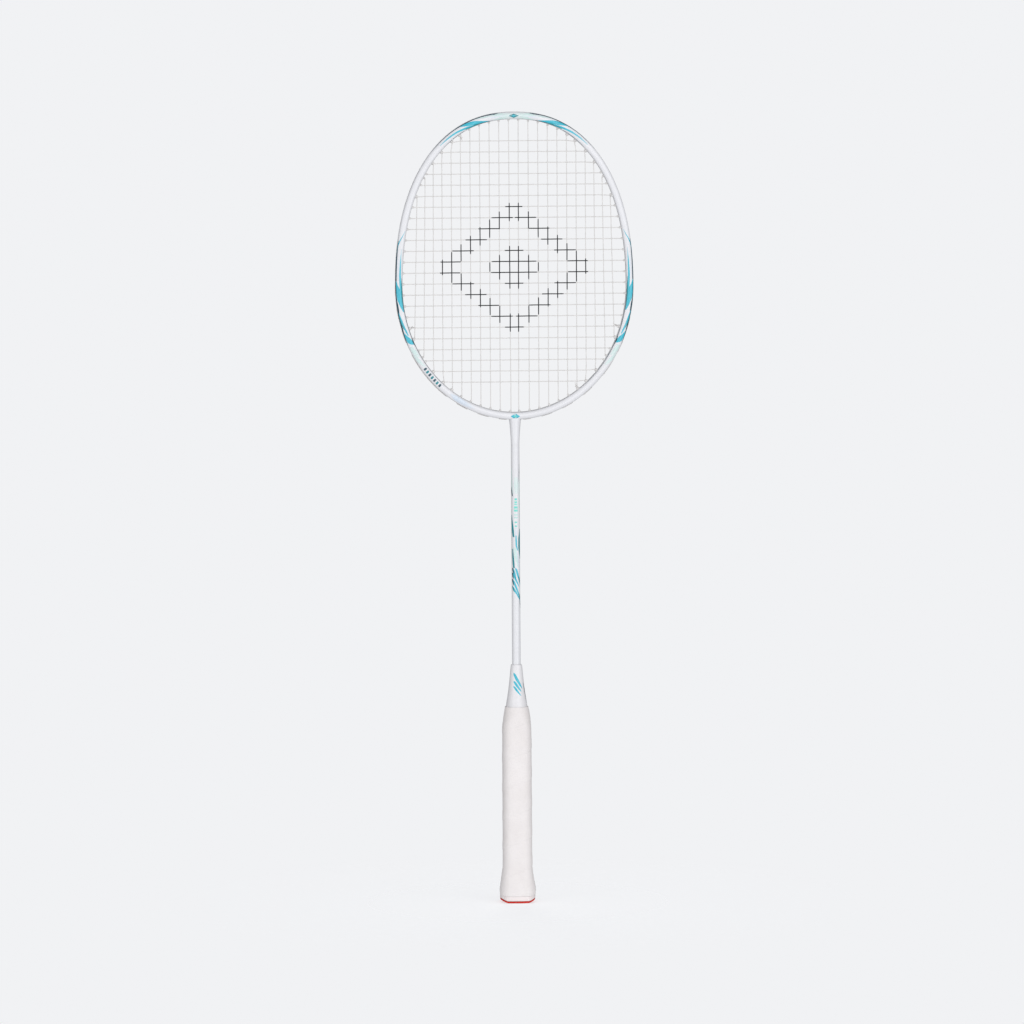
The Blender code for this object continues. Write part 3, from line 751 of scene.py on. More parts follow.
# (colour, rows) for the right half; each row is (distance from the top, inner edge, outer edge, fade if any)
TOP_GRAPHICS = (
    ("mint", ((1.5, 1, 5.2, 0.75), (8, 1.3, 5.8, 0.4), (14, 2.8, 5.9, 0.35), (19, 4.6, 5.9, 0.6))),
    ("mint", ((4, 0.7, 1.4, 0.6), (12, 0.6, 2.2, 0.3), (18, 0.6, 1.2, 0.5))),
    ("blue", ((9, 3.2, 3.8, 0.7), (17, 2.5, 3.6, 0.5), (23, 3.2, 3.5, 0.8))),
    ("mint", ((17, 4.1, 4.5, 0.5), (25, 4.3, 5.3, 0.25), (33, 5.3, 5.6, 0.5))),
    ("dark", ((13, 5.9, 6, 0.1), (17, 5.2, 6.2), (24, 5.6, 6.28), (34, 5.7, 6.28),
              (44, 5.5, 6.28), (56, 5.8, 6.28), (70, 5.9, 6.28, 0.1), (80, 6.1, 6.28, 0.5))),
    ("dark", ((19, 0.35, 0.6, 0.2), (27, 0.35, 1), (34, 0.4, 1, 0.1))),
    ("cyan", ((22, 0.7, 0.9, 0.1), (27, 0.8, 2), (31, 1, 3.3), (35, 1.6, 4.6),
              (38, 2, 5.2), (41, 2.6, 5.5), (44, 3.8, 5.7), (46.5, 4.9, 5.7),
              (48, 5.4, 5.7))),
    ("teal", ((30, 0.5, 1, 0.1), (35, 0.5, 1.7), (40, 0.6, 1.9), (45, 0.9, 1.6, 0.1))),
    ("cyan", ((37, 1.1, 1.7), (44, 1.3, 2.9), (53.5, 2.5, 4), (63, 3.2, 4.4, 0.1),
              (72, 3.7, 4.3, 0.5))),
    ("dark", ((47, 0.5, 0.8, 0.2), (58, 0.4, 0.8, 0.2), (70, 0.3, 0.5, 0.6))),
)
SIDE_GRAPHICS = (
    ("cyan", ((153, 1.2, 1.5, 0.5), (158, 2.6, 3.3, 0.1), (162, 4.2, 5), (166, 5.3, 5.9),
              (172, 5.9, 6.2, 0.2))),
    ("dark", ((162, 5.6, 5.9, 0.2), (169, 5.5, 6.28), (184, 5.3, 6.28), (199, 5.3, 6.28),
              (208, 5.6, 6.28), (213, 5.4, 6.28), (217, 4.9, 6.28), (221.5, 4.8, 6.28),
              (228, 5.3, 6.28), (238, 5.2, 6.28), (247, 5.7, 6.28), (253, 5.9, 6.2, 0.1))),
    ("cyan", ((169, 2.3, 2.6, 0.6), (180, 1.9, 3, 0.1), (192, 1.6, 3.2), (200, 1.4, 2.9),
              (207, 1.4, 2.3))),
    ("blue", ((172, 3.9, 4.2, 0.8), (184, 3.7, 4.7, 0.6), (196, 3.4, 4.2, 0.8))),
    ("cyan", ((196.5, 5.4, 5.9), (200, 4.4, 5.8), (204, 2.2, 5.5), (208.3, 1, 5.5),
              (212.7, 0.9, 5.2), (216, 1.1, 4.2), (219.3, 1, 3.3), (223.7, 0.9, 1.7, 0.1))),
    ("teal", ((194, 0.9, 1.2, 0.2), (202, 0.6, 1.5), (212, 0.5, 1.4), (224, 0.4, 1, 0.2))),
    # Along the inner edge: partly print and partly painted shade of the inner wall.
    ("dark", ((205, 0.35, 0.6, 0.1), (218, 0.35, 0.75, 0.1), (240, 0.3, 0.7, 0.1), (262, 0.3, 0.65, 0.2),
              (300, 0.25, 0.5, 0.6))),
    ("cyan", ((223.5, 5.2, 5.5, 0.1), (227, 4.6, 5.6), (231, 3.9, 5.3), (236, 3.3, 4.8),
              (241, 2.5, 4), (245, 2.3, 3.1, 0.1))),
    ("teal", ((227, 5.3, 5.8, 0.1), (233, 4.9, 5.6), (239, 4, 4.7, 0.1))),
    ("cyan", ((242, 5, 5.5, 0.1), (245, 3.7, 5.6), (248, 1.8, 5.6), (250.5, 1.1, 5.4),
              (252.5, 0.9, 4), (254, 0.8, 1.8))),
    ("dark", ((248, 0.5, 0.9, 0.1), (252, 0.5, 1.3), (256, 0.5, 0.8, 0.1))),
    ("mint", ((255, 3, 5.5, 0.5), (260, 1.7, 5.5, 0.35), (266, 1.3, 2.8, 0.6))),
    ("mint", ((262, 4.4, 5.8, 0.6), (269, 2.6, 5.5, 0.4), (276, 1.6, 3, 0.7))),
)
LEFT_GRAPHICS = (
    ("blue", ((309, 2.2, 3.4, 0.7), (315, 1, 5.2, 0.35), (325, 1.2, 5, 0.5), (334, 2.6, 4, 0.85))),
)
DASH_START_S = 277.0
DASH_PITCH = 3.2
DASH_COUNT = 7
# (s, out, half length, half width, outer and inner colour) of the diamonds at the top and over the throat
MARKS = (
    (0.0, 3.1, 4.4, 1.8, ("teal", "cyan")),
    (PERIMETER / MM / 2.0, 3.4, 4.1, 2.6, ("cyan", "aqua")),
)


def diamond(pile, colour, s, out, half_length, half_width, face, order):
    rows = ((s - half_length, out - 0.06, out + 0.06), (s, out - half_width, out + half_width),
            (s + half_length, out - 0.06, out + 0.06))
    hoop_decal(pile, colour, rows, 1, face, order)


def make_hoop_graphics():
    pile = Pile()
    for face in (1, -1):
        for side in (1, -1):
            for order, (colour, rows) in enumerate(TOP_GRAPHICS + SIDE_GRAPHICS):
                hoop_decal(pile, colour, rows, side, face, order)
        for colour, rows in LEFT_GRAPHICS:
            hoop_decal(pile, colour, rows, -face, face)
        for number in range(DASH_COUNT):
            s = DASH_START_S + DASH_PITCH * number
            rows = ((s, 2.0, 4.5), (s + 0.9, 1.8, 4.7), (s + 1.9, 2.0, 4.5))
            hoop_decal(pile, "teal" if number % 2 else "dark", rows, -face, face)
        for s, out, half_length, half_width, colours in MARKS:
            diamond(pile, colours[0], s, out, half_length, half_width, face, 0)
            diamond(pile, colours[1], s, out, 0.4 * half_length, 0.4 * half_width, face, 4)
    piece("hoop_graphics", pile.mesh("hoop_graphics"), list(DECALS.values()))


# ---- grommets

def strip_section(floor, columns=16):
    """(out, y) round a strip that fills the groove's floor, with rounded edges."""
    bearing = bearings(columns)
    across = np.cos(bearing)
    up = np.sin(bearing)
    y = STRIP_HALF_WIDTH * np.sign(across) * np.abs(across) ** STRIP_EDGE_POWER
    out = STRIP_HALF_THICKNESS * np.sign(up) * np.abs(up) ** STRIP_EDGE_POWER
    return floor[:, None] + STRIP_MIDDLE + out, y


def grommet_pair(first, second, side):
    """A strip along the groove's floor with a flanged barrel through each of two holes."""
    pile = Pile()
    s = np.linspace(first.s_out - STRIP_OVERHANG, second.s_out + STRIP_OVERHANG, 26)
    from_end = np.minimum(s - s[0], s[-1] - s)
    taper = np.minimum(1.0, from_end / STRIP_TAPER_LENGTH * STRIP_TAPER + (1.0 - STRIP_TAPER))
    out, y = strip_section(groove_floor(s))
    middle = out.mean(axis=1, keepdims=True)
    grid = hoop(s[:, None], middle + (out - middle) * taper[:, None], y[None, :] * taper[:, None])
    pile.add(grid * (side, 1.0, 1.0), caps=True)
    for hole in (first, second):
        wide = 0.5 if hole.wide else 0.0
        bore = 0.5 + wide
        floor = float(groove_floor(hole.s_out)) / MM
        profile = [
            (bore, -1.45), (bore + 0.08, -1.6), (0.72 + wide, -1.58), (0.82 + wide, -1.4), (0.9 + wide, -0.6),
            (0.98 + wide, -0.22), (1.34 + wide, -0.14), (1.42 + wide, -0.05), (1.4 + wide, 0.1),
            (1.1 + wide, 0.3), (1.12 + wide, floor + 0.6), (1.1 + wide, floor + 1.1),
            (bore + 0.2, floor + 1.22), (bore, floor + 1.0),
        ]
        start = hole.at(0.0, hole.y, side)
        direction = hole.at(TUBE_WIDTH, hole.y, side) - start
        stretch = np.linalg.norm(direction) / TUBE_WIDTH
        turned = [(radius * MM, along * MM * stretch) for radius, along in profile]
        pile.add(turned_grid(start, direction, turned, 18), wrap_rows=True)
    return pile.mesh("grommet")


def make_grommets():
    for side, word in ((1, "right"), (-1, "left")):
        for number in range(len(holes) // 2):
            pair = holes[2 * number:2 * number + 2]
            label = f"{word}_{number + 1:02d}"
            mesh = grommet_pair(*pair, side)
            piece(f"grommet_strip_{label}", mesh, [GROMMET], [f"grommet_pair_{label}"])


# ---- strings

def in_stencil(x, z):
    """Whether the ink of the string stencil, a plain diamond inside a diamond outline, falls at x and z."""
    reach = np.abs(x) / STENCIL_HALF_WIDTH + np.abs(z - STENCIL_Z) / STENCIL_HALF_HEIGHT
    return ((reach < 1.0) & (reach > STENCIL_INSIDE)) | (reach < STENCIL_CORE)


def woven_y(where, knots):
    """Depth along a run: smooth waves through (place, y) knots."""
    knots = sorted(knots)
    places = np.array([place for place, _ in knots])
    depths = np.array([depth for _, depth in knots])
    index = np.clip(np.searchsorted(places, where) - 1, 0, len(places) - 2)
    share = np.clip((where - places[index]) / (places[index + 1] - places[index]), 0.0, 1.0)
    blend = (1.0 - np.cos(math.pi * share)) / 2.0
    return depths[index] * (1.0 - blend) + depths[index + 1] * blend


def main_column(index):
    """A main's number from 0 at the left."""
    return MAINS_PER_SIDE + (index if index < 0 else index - 1)


def over(index, cross):
    """1 where the main passes in front of the cross, or -1."""
    return 1.0 if (main_column(index) + cross) % 2 else -1.0


def main_run(index):
    """From the top mouth of a main down to its bottom mouth."""
    side = 1 if index > 0 else -1
    ends = [hole_of["main", (abs(index), edge)] for edge in ("top", "bottom")]
    mouths = [hole.at(MOUTH_OUT, string_y("main"), side) for hole in ends]
    stops = [(mouths[0][2], mouths[0][0])]
    for hole, mouth, inset in ((ends[0], mouths[0], -BED_INSET), (ends[1], mouths[1], BED_INSET)):
        if hole.shared:
            stops.append((mouth[2] + inset, main_x(index, mouth[2] + inset)))
    stops.append((mouths[1][2], mouths[1][0]))
    count = int((mouths[0][2] - mouths[1][2]) / STRING_STEP)
    z = np.linspace(mouths[0][2], mouths[1][2], count)
    x = np.interp(-z, [-stop[0] for stop in stops], [stop[1] for stop in stops])
    knots = [(mouth[2], mouth[1]) for mouth in mouths]
    for cross in range(1, CROSSES + 1):
        if mouths[1][2] + MOUTH_CLEARANCE < cross_z(cross) < mouths[0][2] - MOUTH_CLEARANCE:
            knots.append((cross_z(cross), -WEAVE * over(index, cross)))
    return np.stack([x, woven_y(z, knots), z], -1)


def cross_run(cross):
    """From the left mouth of a cross to its right mouth."""
    hole = hole_of["cross", cross]
    mouth = hole.at(MOUTH_OUT, string_y("cross"))
    level = cross_z(cross)
    stops = [(-mouth[0], mouth[2]), (mouth[0], mouth[2])]
    if hole.shared:
        inner = mouth[0] - BED_INSET
        stops[1:1] = [(-inner, level), (inner, level)]
    x = np.linspace(-mouth[0], mouth[0], int(2.0 * mouth[0] / STRING_STEP))
    z = np.interp(x, [stop[0] for stop in stops], [stop[1] for stop in stops])
    knots = [(-mouth[0], mouth[1]), (mouth[0], mouth[1])]
    for index in [i for i in range(-MAINS_PER_SIDE, MAINS_PER_SIDE + 1) if i]:
        place = main_x(index, level)
        if abs(place) < mouth[0] - MOUTH_CLEARANCE:
            knots.append((place, WEAVE * over(index, cross)))
    return np.stack([x, woven_y(x, knots), z], -1)


def hole_climb(hole, kind, side, towards):
    """From a hole's mouth up its bore and round onto the strip, towards one way along the groove."""
    y = string_y(kind)
    level = float(string_level(hole.s_out))
    points = [hole.at(out, y, side) for out in np.linspace(MOUTH_OUT, level - STRING_BEND, 6)[1:]]
    for share in (0.25, 0.5, 0.75, 1.0):
        angle = share * math.pi / 2.0
        s = hole.s_out + math.copysign(STRING_BEND * (1.0 - math.cos(angle)), towards)
        out = level - STRING_BEND + STRING_BEND * math.sin(angle)
        points.append(hoop(s, out, y) * (side, 1.0, 1.0))
    return points


def groove_loop(start, end, kind, side_start, side_end):
    """Out of one hole, along the groove over the strips, and back in through another."""
    low = start.s_out * side_start
    high = end.s_out * side_end
    if abs(high - low) > PERIMETER / 2.0:
        high += math.copysign(PERIMETER, low)
    forward = 1.0 if high > low else -1.0
    steps = max(4, round(abs(high - low) / LOOP_STEP))
    s = np.linspace(low, high, steps + 1)[1:-1]
    middle = list(hoop(s, string_level(s), string_y(kind)))
    out = hole_climb(start, kind, side_start, forward * side_start)
    back = hole_climb(end, kind, side_end, -forward * side_end)
    return out + middle + back[::-1]


def knot(hole, kind, side):
    """A tied end inside the head: out of the mouth, two coils drawn tight and a short tail."""
    start = hole.at(MOUTH_OUT, string_y(kind), side)
    axis = hole.at(-TUBE_WIDTH, string_y(kind), side) - start
    axis = axis / np.linalg.norm(axis)
    first, second = ring_about(axis)
    lean = second * math.copysign(1.0 * MM, string_y(kind))
    points = [start + axis * 0.1 * MM]
    for share in np.linspace(0.0, 1.0, 26):
        bearing = share * KNOT_TURNS * TURN
        ring = (first * math.cos(bearing) + second * math.sin(bearing)) * KNOT_RADIUS_MM * MM
        points.append(start + axis * (KNOT_START_MM + KNOT_LENGTH_MM * share) * MM + lean + ring)
    tail = points[-1]
    points += [tail + axis * step * MM + first * step * 0.5 * MM for step in (0.7, 1.4, 2.2)]
    return points


def stencilled(points):
    """Which points lie in the string bed, under the stencil's ink."""
    in_bed = np.abs(points[:, 1]) < BED_HALF_DEPTH
    return in_stencil(points[:, 0], points[:, 2]) & in_bed


def string_piece(name, points, replaced, sides=8):
    """A round cord along points, its rings carried along without twist, dark and thicker where inked."""
    points = np.asarray(points)
    keep = np.concatenate([[True], np.linalg.norm(np.diff(points, axis=0), axis=1) > LEAST_STEP])
    points = points[keep]
    tangent = np.gradient(points, axis=0)
    tangent /= np.linalg.norm(tangent, axis=1)[:, None]
    radii = np.where(stencilled(points), INKED_RADIUS, STRING_RADIUS)
    bearing = bearings(sides)
    up = np.cross(tangent[0], (0.0, 1.0, 0.001))
    rings = []
    for point, direction, size in zip(points, tangent, radii):
        up = up - direction * np.dot(up, direction)
        up = up / np.linalg.norm(up)
        side = np.cross(direction, up)
        rings.append(point + size * (np.cos(bearing)[:, None] * up + np.sin(bearing)[:, None] * side))
    inked = stencilled((points[:-1] + points[1:]) / 2.0)
    mesh = skin(name, np.array(rings), caps=True, slots=inked.astype(int))
    piece(name, mesh, [STRING, STRING_INK], [replaced], smooth_below=60.0)


def make_main_string():
    order = list(range(-MAINS_PER_SIDE, 0)) + list(range(1, MAINS_PER_SIDE + 1))
    last = hole_of["main", (MAINS_PER_SIDE, "bottom")]
    guest = hole_of["main", "tie"]
    points = (groove_loop(last, guest, "main", -1, -1) + knot(guest, "main", -1))[::-1]
    for count, index in enumerate(order):
        run = list(main_run(index))
        points += run[::-1] if count % 2 == 0 else run
        if index == order[-1]:
            break
        following = order[count + 1]
        edge = "top" if count % 2 == 0 else "bottom"
        pair = [hole_of["main", (abs(i), edge)] for i in (index, following)]
        points += groove_loop(*pair, "main", *[1 if i > 0 else -1 for i in (index, following)])
    points += groove_loop(last, guest, "main", 1, 1) + knot(guest, "main", 1)
    string_piece("main_string_woven", points, "main_string")


def make_cross_string():
    first = hole_of["cross", 1]
    last = hole_of["cross", CROSSES]
    guests = [hole_of["cross", "top tie"], hole_of["cross", "bottom tie"]]
    points = (groove_loop(first, guests[0], "cross", -1, -1) + knot(guests[0], "cross", -1))[::-1]
    for cross in range(1, CROSSES + 1):
        run = list(cross_run(cross))
        side = 1 if cross % 2 else -1
        points += run if side > 0 else run[::-1]
        if cross < CROSSES:
            points += groove_loop(hole_of["cross", cross], hole_of["cross", cross + 1], "cross", side, side)
    points += groove_loop(last, guests[1], "cross", 1, 1) + knot(guests[1], "cross", 1)
    string_piece("cross_string_woven", points, "cross_string")


# ---- shaft and cone

def turned_about_z(profile_mm, sides):
    """A grid turned about the z axis from (radius, z) in millimetres."""
    return oval_grid([(radius, radius, z) for radius, z in profile_mm], sides)


def make_shaft():
    top = SHAFT_TOP_Z / MM
    heights = np.linspace(top, SHAFT_FOOT_MM, 90)
    profile = [(SHAFT_RADIUS / MM, z) for z in heights]
    profile += [(SHAFT_BORE_MM, SHAFT_FOOT_MM), (SHAFT_BORE_MM, top)]
    mesh = skin("shaft", turned_about_z(profile, 64), wrap_rows=True)
    piece("shaft_tube", mesh, [PAINT], ["shaft"])


def make_cone():
    outside = polyline(rounded(CONE_MM, 2), 60).tolist()
    mesh = skin("cone", turned_about_z(outside + list(CONE_INSIDE_MM), 80), wrap_rows=True)
    surface = finish(
        "cone_plastic", CONE_WHITE, 0.34, variation=0.02, grain=0.8, grain_depth=0.012, coat=0.25,
    )
    piece("cone_cap_turned", mesh, [surface], ["cone_cap"], smooth_below=40.0)


def round_decal(pile, colour, rows, radius_at, order=0, across=7):
    """A thin closed film round a turned part. Rows are (z, low, high, fade), in millimetres and degrees."""
    z, low, high, fade = spread(sorted((*row, 0.0)[:4] for row in rows), 0.5)
    high = np.maximum(high, low + 0.6)
    share = np.linspace(0.0, 1.0, across)
    bearing = np.radians(low[:, None] * (1 - share) + high[:, None] * share)
    skins = []
    for lift in (0.03 * MM + 0.001 * MM * order, -0.03 * MM):
        radius = radius_at(z * MM)[:, None] + lift
        height = z[:, None] * MM + 0.0 * bearing
        skins.append(np.stack([radius * np.sin(bearing), -radius * np.cos(bearing), height], -1))
    add_film(pile, colour, skins, fade)


def turned_rows(rows, degrees):
    return [(z, low + degrees, high + degrees, *rest) for z, low, high, *rest in rows]


# (colour, rows) on the shaft's front; each row is (z, low degrees, high degrees, fade if any)
SHAFT_GRAPHICS = (
    ("mint", ((372, -78, -60, 0.5), (362, -82, -52, 0.5), (350, -60, -30, 0.6))),
    ("dark", ((375, 54, 62, 0.4), (368, 50, 62, 0.2), (360, 44, 50, 0.5))),
    ("mint", ((364, -20, 30, 0.7), (357, -26, 40, 0.5), (350, -10, 30, 0.7))),
    ("mint", ((362, 50, 80, 0.5), (345, 46, 84, 0.35), (328, 58, 86, 0.6))),
    ("dark", ((356, -80, -70), (352, -76, -52), (348, -58, -42))),
    ("teal", ((332, -84, -62, 0.2), (325, -80, -44), (318.5, -66, -28), (313, -46, -22))),
    ("teal", ((320, 58, 86, 0.1), (312, 34, 84), (304, 34, 84), (298.5, 48, 86),
              (294, 64, 86, 0.2))),
    ("blue", ((321, -4, 8, 0.6), (316.5, -8, 10, 0.3), (314, -6, 8, 0.4))),
    ("cyan", ((314.5, -8, 8, 0.2), (310, -8, 14), (305.5, -6, 16), (301.5, 14, 32, 0.2))),
    ("mint", ((304, -40, -6, 0.3), (296, -20, 24, 0.2), (287, 26, 50, 0.4))),
    ("teal", ((303, -66, -42, 0.3), (295, -58, -28), (286.5, -44, -18))),
    ("blue", ((300, 6, 24, 0.6), (291, 26, 50, 0.5), (284, 50, 70, 0.7))),
    ("dark", ((260.5, 50, 66), (256, 56, 72), (252, 64, 70, 0.3))),
)
# (colour, z at the top, degrees there, z at the bottom, degrees there, width in degrees)
SHAFT_STROKES = (
    ("cyan", 287, -7, 272.8, 60, 29), ("teal", 279.5, 38, 271.5, 70, 20),
    ("cyan", 286, -40, 276, 0, 28), ("cyan", 282.4, -48, 270, 44, 28),
    ("cyan", 276.7, -43, 260.6, 56, 28), ("cyan", 270.8, -50, 258.6, 60, 26),
    ("dark", 286.8, -56, 281.2, -32, 23), ("dark", 282.8, -64, 277, -38, 23),
    ("dark", 277.4, -60, 271.6, -34, 23), ("teal", 271.4, -58, 265.8, -26, 22),
    ("teal", 264.8, 40, 256.6, 68, 20),
)
# (z at the top, height in millimetres, half width in degrees, colour) of the bars in the middle of the shaft
SHAFT_BARS = (
    (346.2, 1.8, 17, "aqua"), (343.6, 1.8, 17, "aqua"), (341.2, 0.9, 20, "aqua"), (339.3, 1.9, 25, "aqua"),
    (336.6, 1.8, 25, "aqua"), (332.7, 1.3, 26, "mint"), (330.3, 1.3, 26, "mint"), (326.3, 1.3, 17, "aqua"),
    (323, 1.3, 15, "aqua"), (320.5, 0.7, 10, "mint"),
)


def stroke(top, start, bottom, finish_at, width):
    """A slanting line round a turned part, full near its top and pointed at its bottom."""
    rows = []
    for share, breadth in ((0.0, 0.1), (0.12, 0.9), (0.4, 1.0), (0.75, 0.7), (1.0, 0.1)):
        middle = start + (finish_at - start) * share
        half = width * breadth / 2.0
        rows.append((top + (bottom - top) * share, middle - half, middle + half))
    return rows


def turned_graphics(name, radius_at, stacked, flat):
    """The films of a turned part, on its front and again on its back; the stacked ones may overlap."""
    pile = Pile()
    for turn in (0.0, 180.0):
        for order, (colour, rows) in enumerate(stacked):
            round_decal(pile, colour, turned_rows(rows, turn), radius_at, order)
        for colour, rows in flat:
            round_decal(pile, colour, turned_rows(rows, turn), radius_at)
    piece(name, pile.mesh(name), list(DECALS.values()))


def make_shaft_graphics():
    radius_at = lambda z: np.full_like(z, SHAFT_RADIUS)
    strokes = tuple((colour, stroke(*line)) for colour, *line in SHAFT_STROKES)
    bars = []
    for z, height, half, colour in SHAFT_BARS:
        bars.append((colour, ((z, -half, half, 0.1), (z - height, -half, half, 0.1))))
    turned_graphics("shaft_graphics", radius_at, SHAFT_GRAPHICS + strokes, bars)


CONE_STROKES = (
    ("cyan", 197.2, -29, 183.4, 40, 27), ("cyan", 190.3, -26, 180.8, 31, 22),
    ("cyan", 186, -26, 177.4, 26, 18),
)
CONE_MARK = ((188.5, 56, 62, 0.5), (183.5, 62, 74, 0.1), (178, 68, 82), (171, 76, 84, 0.1))


def make_cone_graphics():
    profile = polyline(rounded(CONE_MM, 2), 60) * MM
    rising = profile[np.argsort(profile[:, 1])]
    radius_at = lambda z: np.interp(z, rising[:, 1], rising[:, 0])
    strokes = [(colour, stroke(*line)) for colour, *line in CONE_STROKES]
    turned_graphics("cone_graphics", radius_at, strokes, [("dark", CONE_MARK)])


# ---- handle

def handle_radius(bearing, half_width, half_depth, crispness=HANDLE_CRISPNESS):
    """Radius of the handle's eight-sided section with softened corners, at a bearing from +X."""
    corner_x = CORNER_WIDTH_SHARE * half_width
    corner_y = CORNER_DEPTH_SHARE * half_depth
    slant = np.hypot(corner_x, corner_y)
    normal_x = corner_y / slant
    normal_y = corner_x / slant
    reach = normal_x * half_width + normal_y * (half_depth - corner_y)
    along_x = np.abs(np.cos(bearing))
    along_y = np.abs(np.sin(bearing))
    sides = (along_x / half_width, along_y / half_depth, (normal_x * along_x + normal_y * along_y) / reach)
    return sum(side ** crispness for side in sides) ** (-1.0 / crispness)


def handle_points(z, half_width, half_depth, bearing, swell=0.0):
    """Points on the handle, whose section turns from eight-sided to round below the cone."""
    radius = handle_radius(bearing, half_width, half_depth)
    blend = np.clip((z - GRIP_ROUND_FROM_Z) / (GRIP_ROUND_BY_Z - GRIP_ROUND_FROM_Z), 0.0, 1.0)
    radius = radius * (1.0 - blend) + half_width * blend + swell
    return np.stack([radius * np.cos(bearing), radius * np.sin(bearing), z + 0.0 * bearing], -1)


def handle_grid(rows_mm, bearing):
    rows = np.asarray(rows_mm) * MM
    return handle_points(rows[:, 2:], rows[:, :1], rows[:, 1:2], bearing)


def wrap_height(z, bearing):
    """How far the wound strip stands up: a sharp lower edge over each turn's overlap, easing off above."""
    phase = np.mod(z - WRAP_PITCH * (bearing / TURN + 0.3), WRAP_PITCH) / MM
    rise = np.clip(phase / WRAP_RISE_MM, 0.0, 1.0)
    fall = np.clip((phase - WRAP_FALL_FROM_MM) / WRAP_FALL_MM, 0.0, 1.0)
    smooth = (rise * rise * (3.0 - 2.0 * rise)) * (1.0 - fall * fall * (3.0 - 2.0 * fall))
    return WRAP_STEP * smooth


def make_grip():
    per_turn = 60
    bearing = np.arange(HANDLE_COLUMNS + 1) * TURN / HANDLE_COLUMNS
    profile = rounded(GRIP_MM, 3) * MM
    low = profile[0, 2]
    high = profile[-1, 2]
    first = int(math.floor(low / WRAP_PITCH * per_turn)) - per_turn - 1
    last = int(math.ceil(high / WRAP_PITCH * per_turn)) + 1
    rows = np.arange(first, last + 1) * WRAP_PITCH / per_turn
    z = np.clip(rows[:, None] + WRAP_PITCH * bearing / TURN, low, high)
    half_width = np.interp(z, profile[:, 2], profile[:, 0])
    half_depth = np.interp(z, profile[:, 2], profile[:, 1])
    calm = np.clip((z - low) / WRAP_CALM_LENGTH, 0.0, 1.0) * np.clip((high - z) / WRAP_CALM_LENGTH, 0.0, 1.0)
    outside = handle_points(z, half_width, half_depth, bearing, wrap_height(z, bearing) * calm)
    pile = Pile()
    pile.add(outside, wrap_columns=False)
    inside = handle_grid(GRIP_INSIDE_MM, bearing)
    joined = np.concatenate([outside[-1:], inside, outside[:1]])
    pile.add(joined, wrap_columns=False)
    mesh = pile.mesh("grip")
    bm = bmesh.new()
    bm.from_mesh(mesh)
    bmesh.ops.remove_doubles(bm, verts=bm.verts, dist=MERGE_DISTANCE)
    bmesh.ops.recalc_face_normals(bm, faces=bm.faces)
    bm.to_mesh(mesh)
    bm.free()
    piece("grip_wound", mesh, [grip_surface()], ["grip_wrap"], smooth_below=50.0)


def crowned(level, x):
    beyond = np.clip((np.abs(x) - END_FLAT_HALF_WIDTH) / (LIP_HALF_WIDTH - END_FLAT_HALF_WIDTH), 0.0, None)
    return level + END_CROWN * beyond


def butt_ring(shrink, level, crown_it, bearing):
    """A ring of the butt's outline, drawn in by shrink."""
    radius = handle_radius(bearing, LIP_HALF_WIDTH - shrink, LIP_HALF_DEPTH - shrink)
    x = radius * np.cos(bearing)
    height = crowned(level, x) if crown_it else np.full_like(x, level)
    return np.stack([x, radius * np.sin(bearing), height], -1)


def make_butt():
    bearing = bearings(HANDLE_COLUMNS)
    ring = lambda shrink, level, crown_it: butt_ring(shrink * MM, level * MM, crown_it, bearing)
    base = END_PLATE_THICKNESS / MM
    cap = [ring(shrink, base + level, True) for shrink, level in CAP_CROWNED_MM]
    cap += [ring(shrink, level, False) for shrink, level in CAP_LIP_MM]
    surface = finish("cap_plastic", CAP_WHITE, 0.34, variation=0.02, grain=0.7, grain_depth=0.012, coat=0.2)
    mesh = skin("cap", np.concatenate([np.array(cap), handle_grid(CAP_INSIDE_MM, bearing)]), caps=True)
    piece("butt_cap_moulded", mesh, [surface], ["butt_cap"], smooth_below=40.0)
    plate = [ring(shrink, level, level > 0.0) for shrink, level in PLATE_BOTTOM_MM]
    plate += [ring(shrink, base + level, True) for shrink, level in PLATE_TOP_MM]
    red = finish(
        "end_red", END_RED, 0.45, variation=0.08, grain=0.5, grain_depth=0.015, blotch=5.0, specular=0.3,
    )
    mesh = skin("plate", np.array(plate), caps=True)
    piece("butt_end_plate_moulded", mesh, [red], ["butt_end_plate"], smooth_below=40.0)


def finish_inner_parts():
    """The CAD's own solids that stay: the wooden core and the joint pin."""
    graphite = finish("joint_graphite", GRAPHITE, 0.45, variation=0.2, grain=0.3, grain_depth=0.03)
    for name, material in (("handle_core", wood_surface()), ("t_joint_insert", graphite)):
        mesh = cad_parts[name].data
        mesh.materials.clear()
        mesh.materials.append(material)


# ---- stage, light and camera

CAMERA_DISTANCE = 8.0
CAMERA_AZIMUTH = -4.2
CAMERA_ELEVATION = 5.0
CAMERA_ROLL = 0.33
VIEW_SIZE = 0.8718
AIM = Vector((-0.003, 0.0, 0.3342))
SENSOR = 36.0
FRONT_LIGHT = 0.84
BACK_LIGHT = 0.22
LIGHT_AIM = Vector((0.0, 0.0, 0.35))
FLOOR_GLOW = 0.35
FLOOR_RADIUS = 0.55
FLOOR_Z = -0.0002


def make_camera():
    data = bpy.data.cameras.new("camera")
    data.sensor_width = SENSOR
    data.lens = SENSOR * CAMERA_DISTANCE / VIEW_SIZE
    camera = bpy.data.objects.new("camera", data)
    azimuth = math.radians(CAMERA_AZIMUTH)
    elevation = math.radians(CAMERA_ELEVATION)
    level = math.cos(elevation)
    back = Vector((math.sin(azimuth) * level, -math.cos(azimuth) * level, math.sin(elevation)))
    camera.location = AIM + back * CAMERA_DISTANCE
    turn = (-back).to_track_quat("-Z", "Y").to_matrix() @ Matrix.Rotation(math.radians(-CAMERA_ROLL), 3, "Z")
    camera.rotation_euler = turn.to_euler()
    bpy.context.scene.collection.objects.link(camera)
    bpy.context.scene.camera = camera


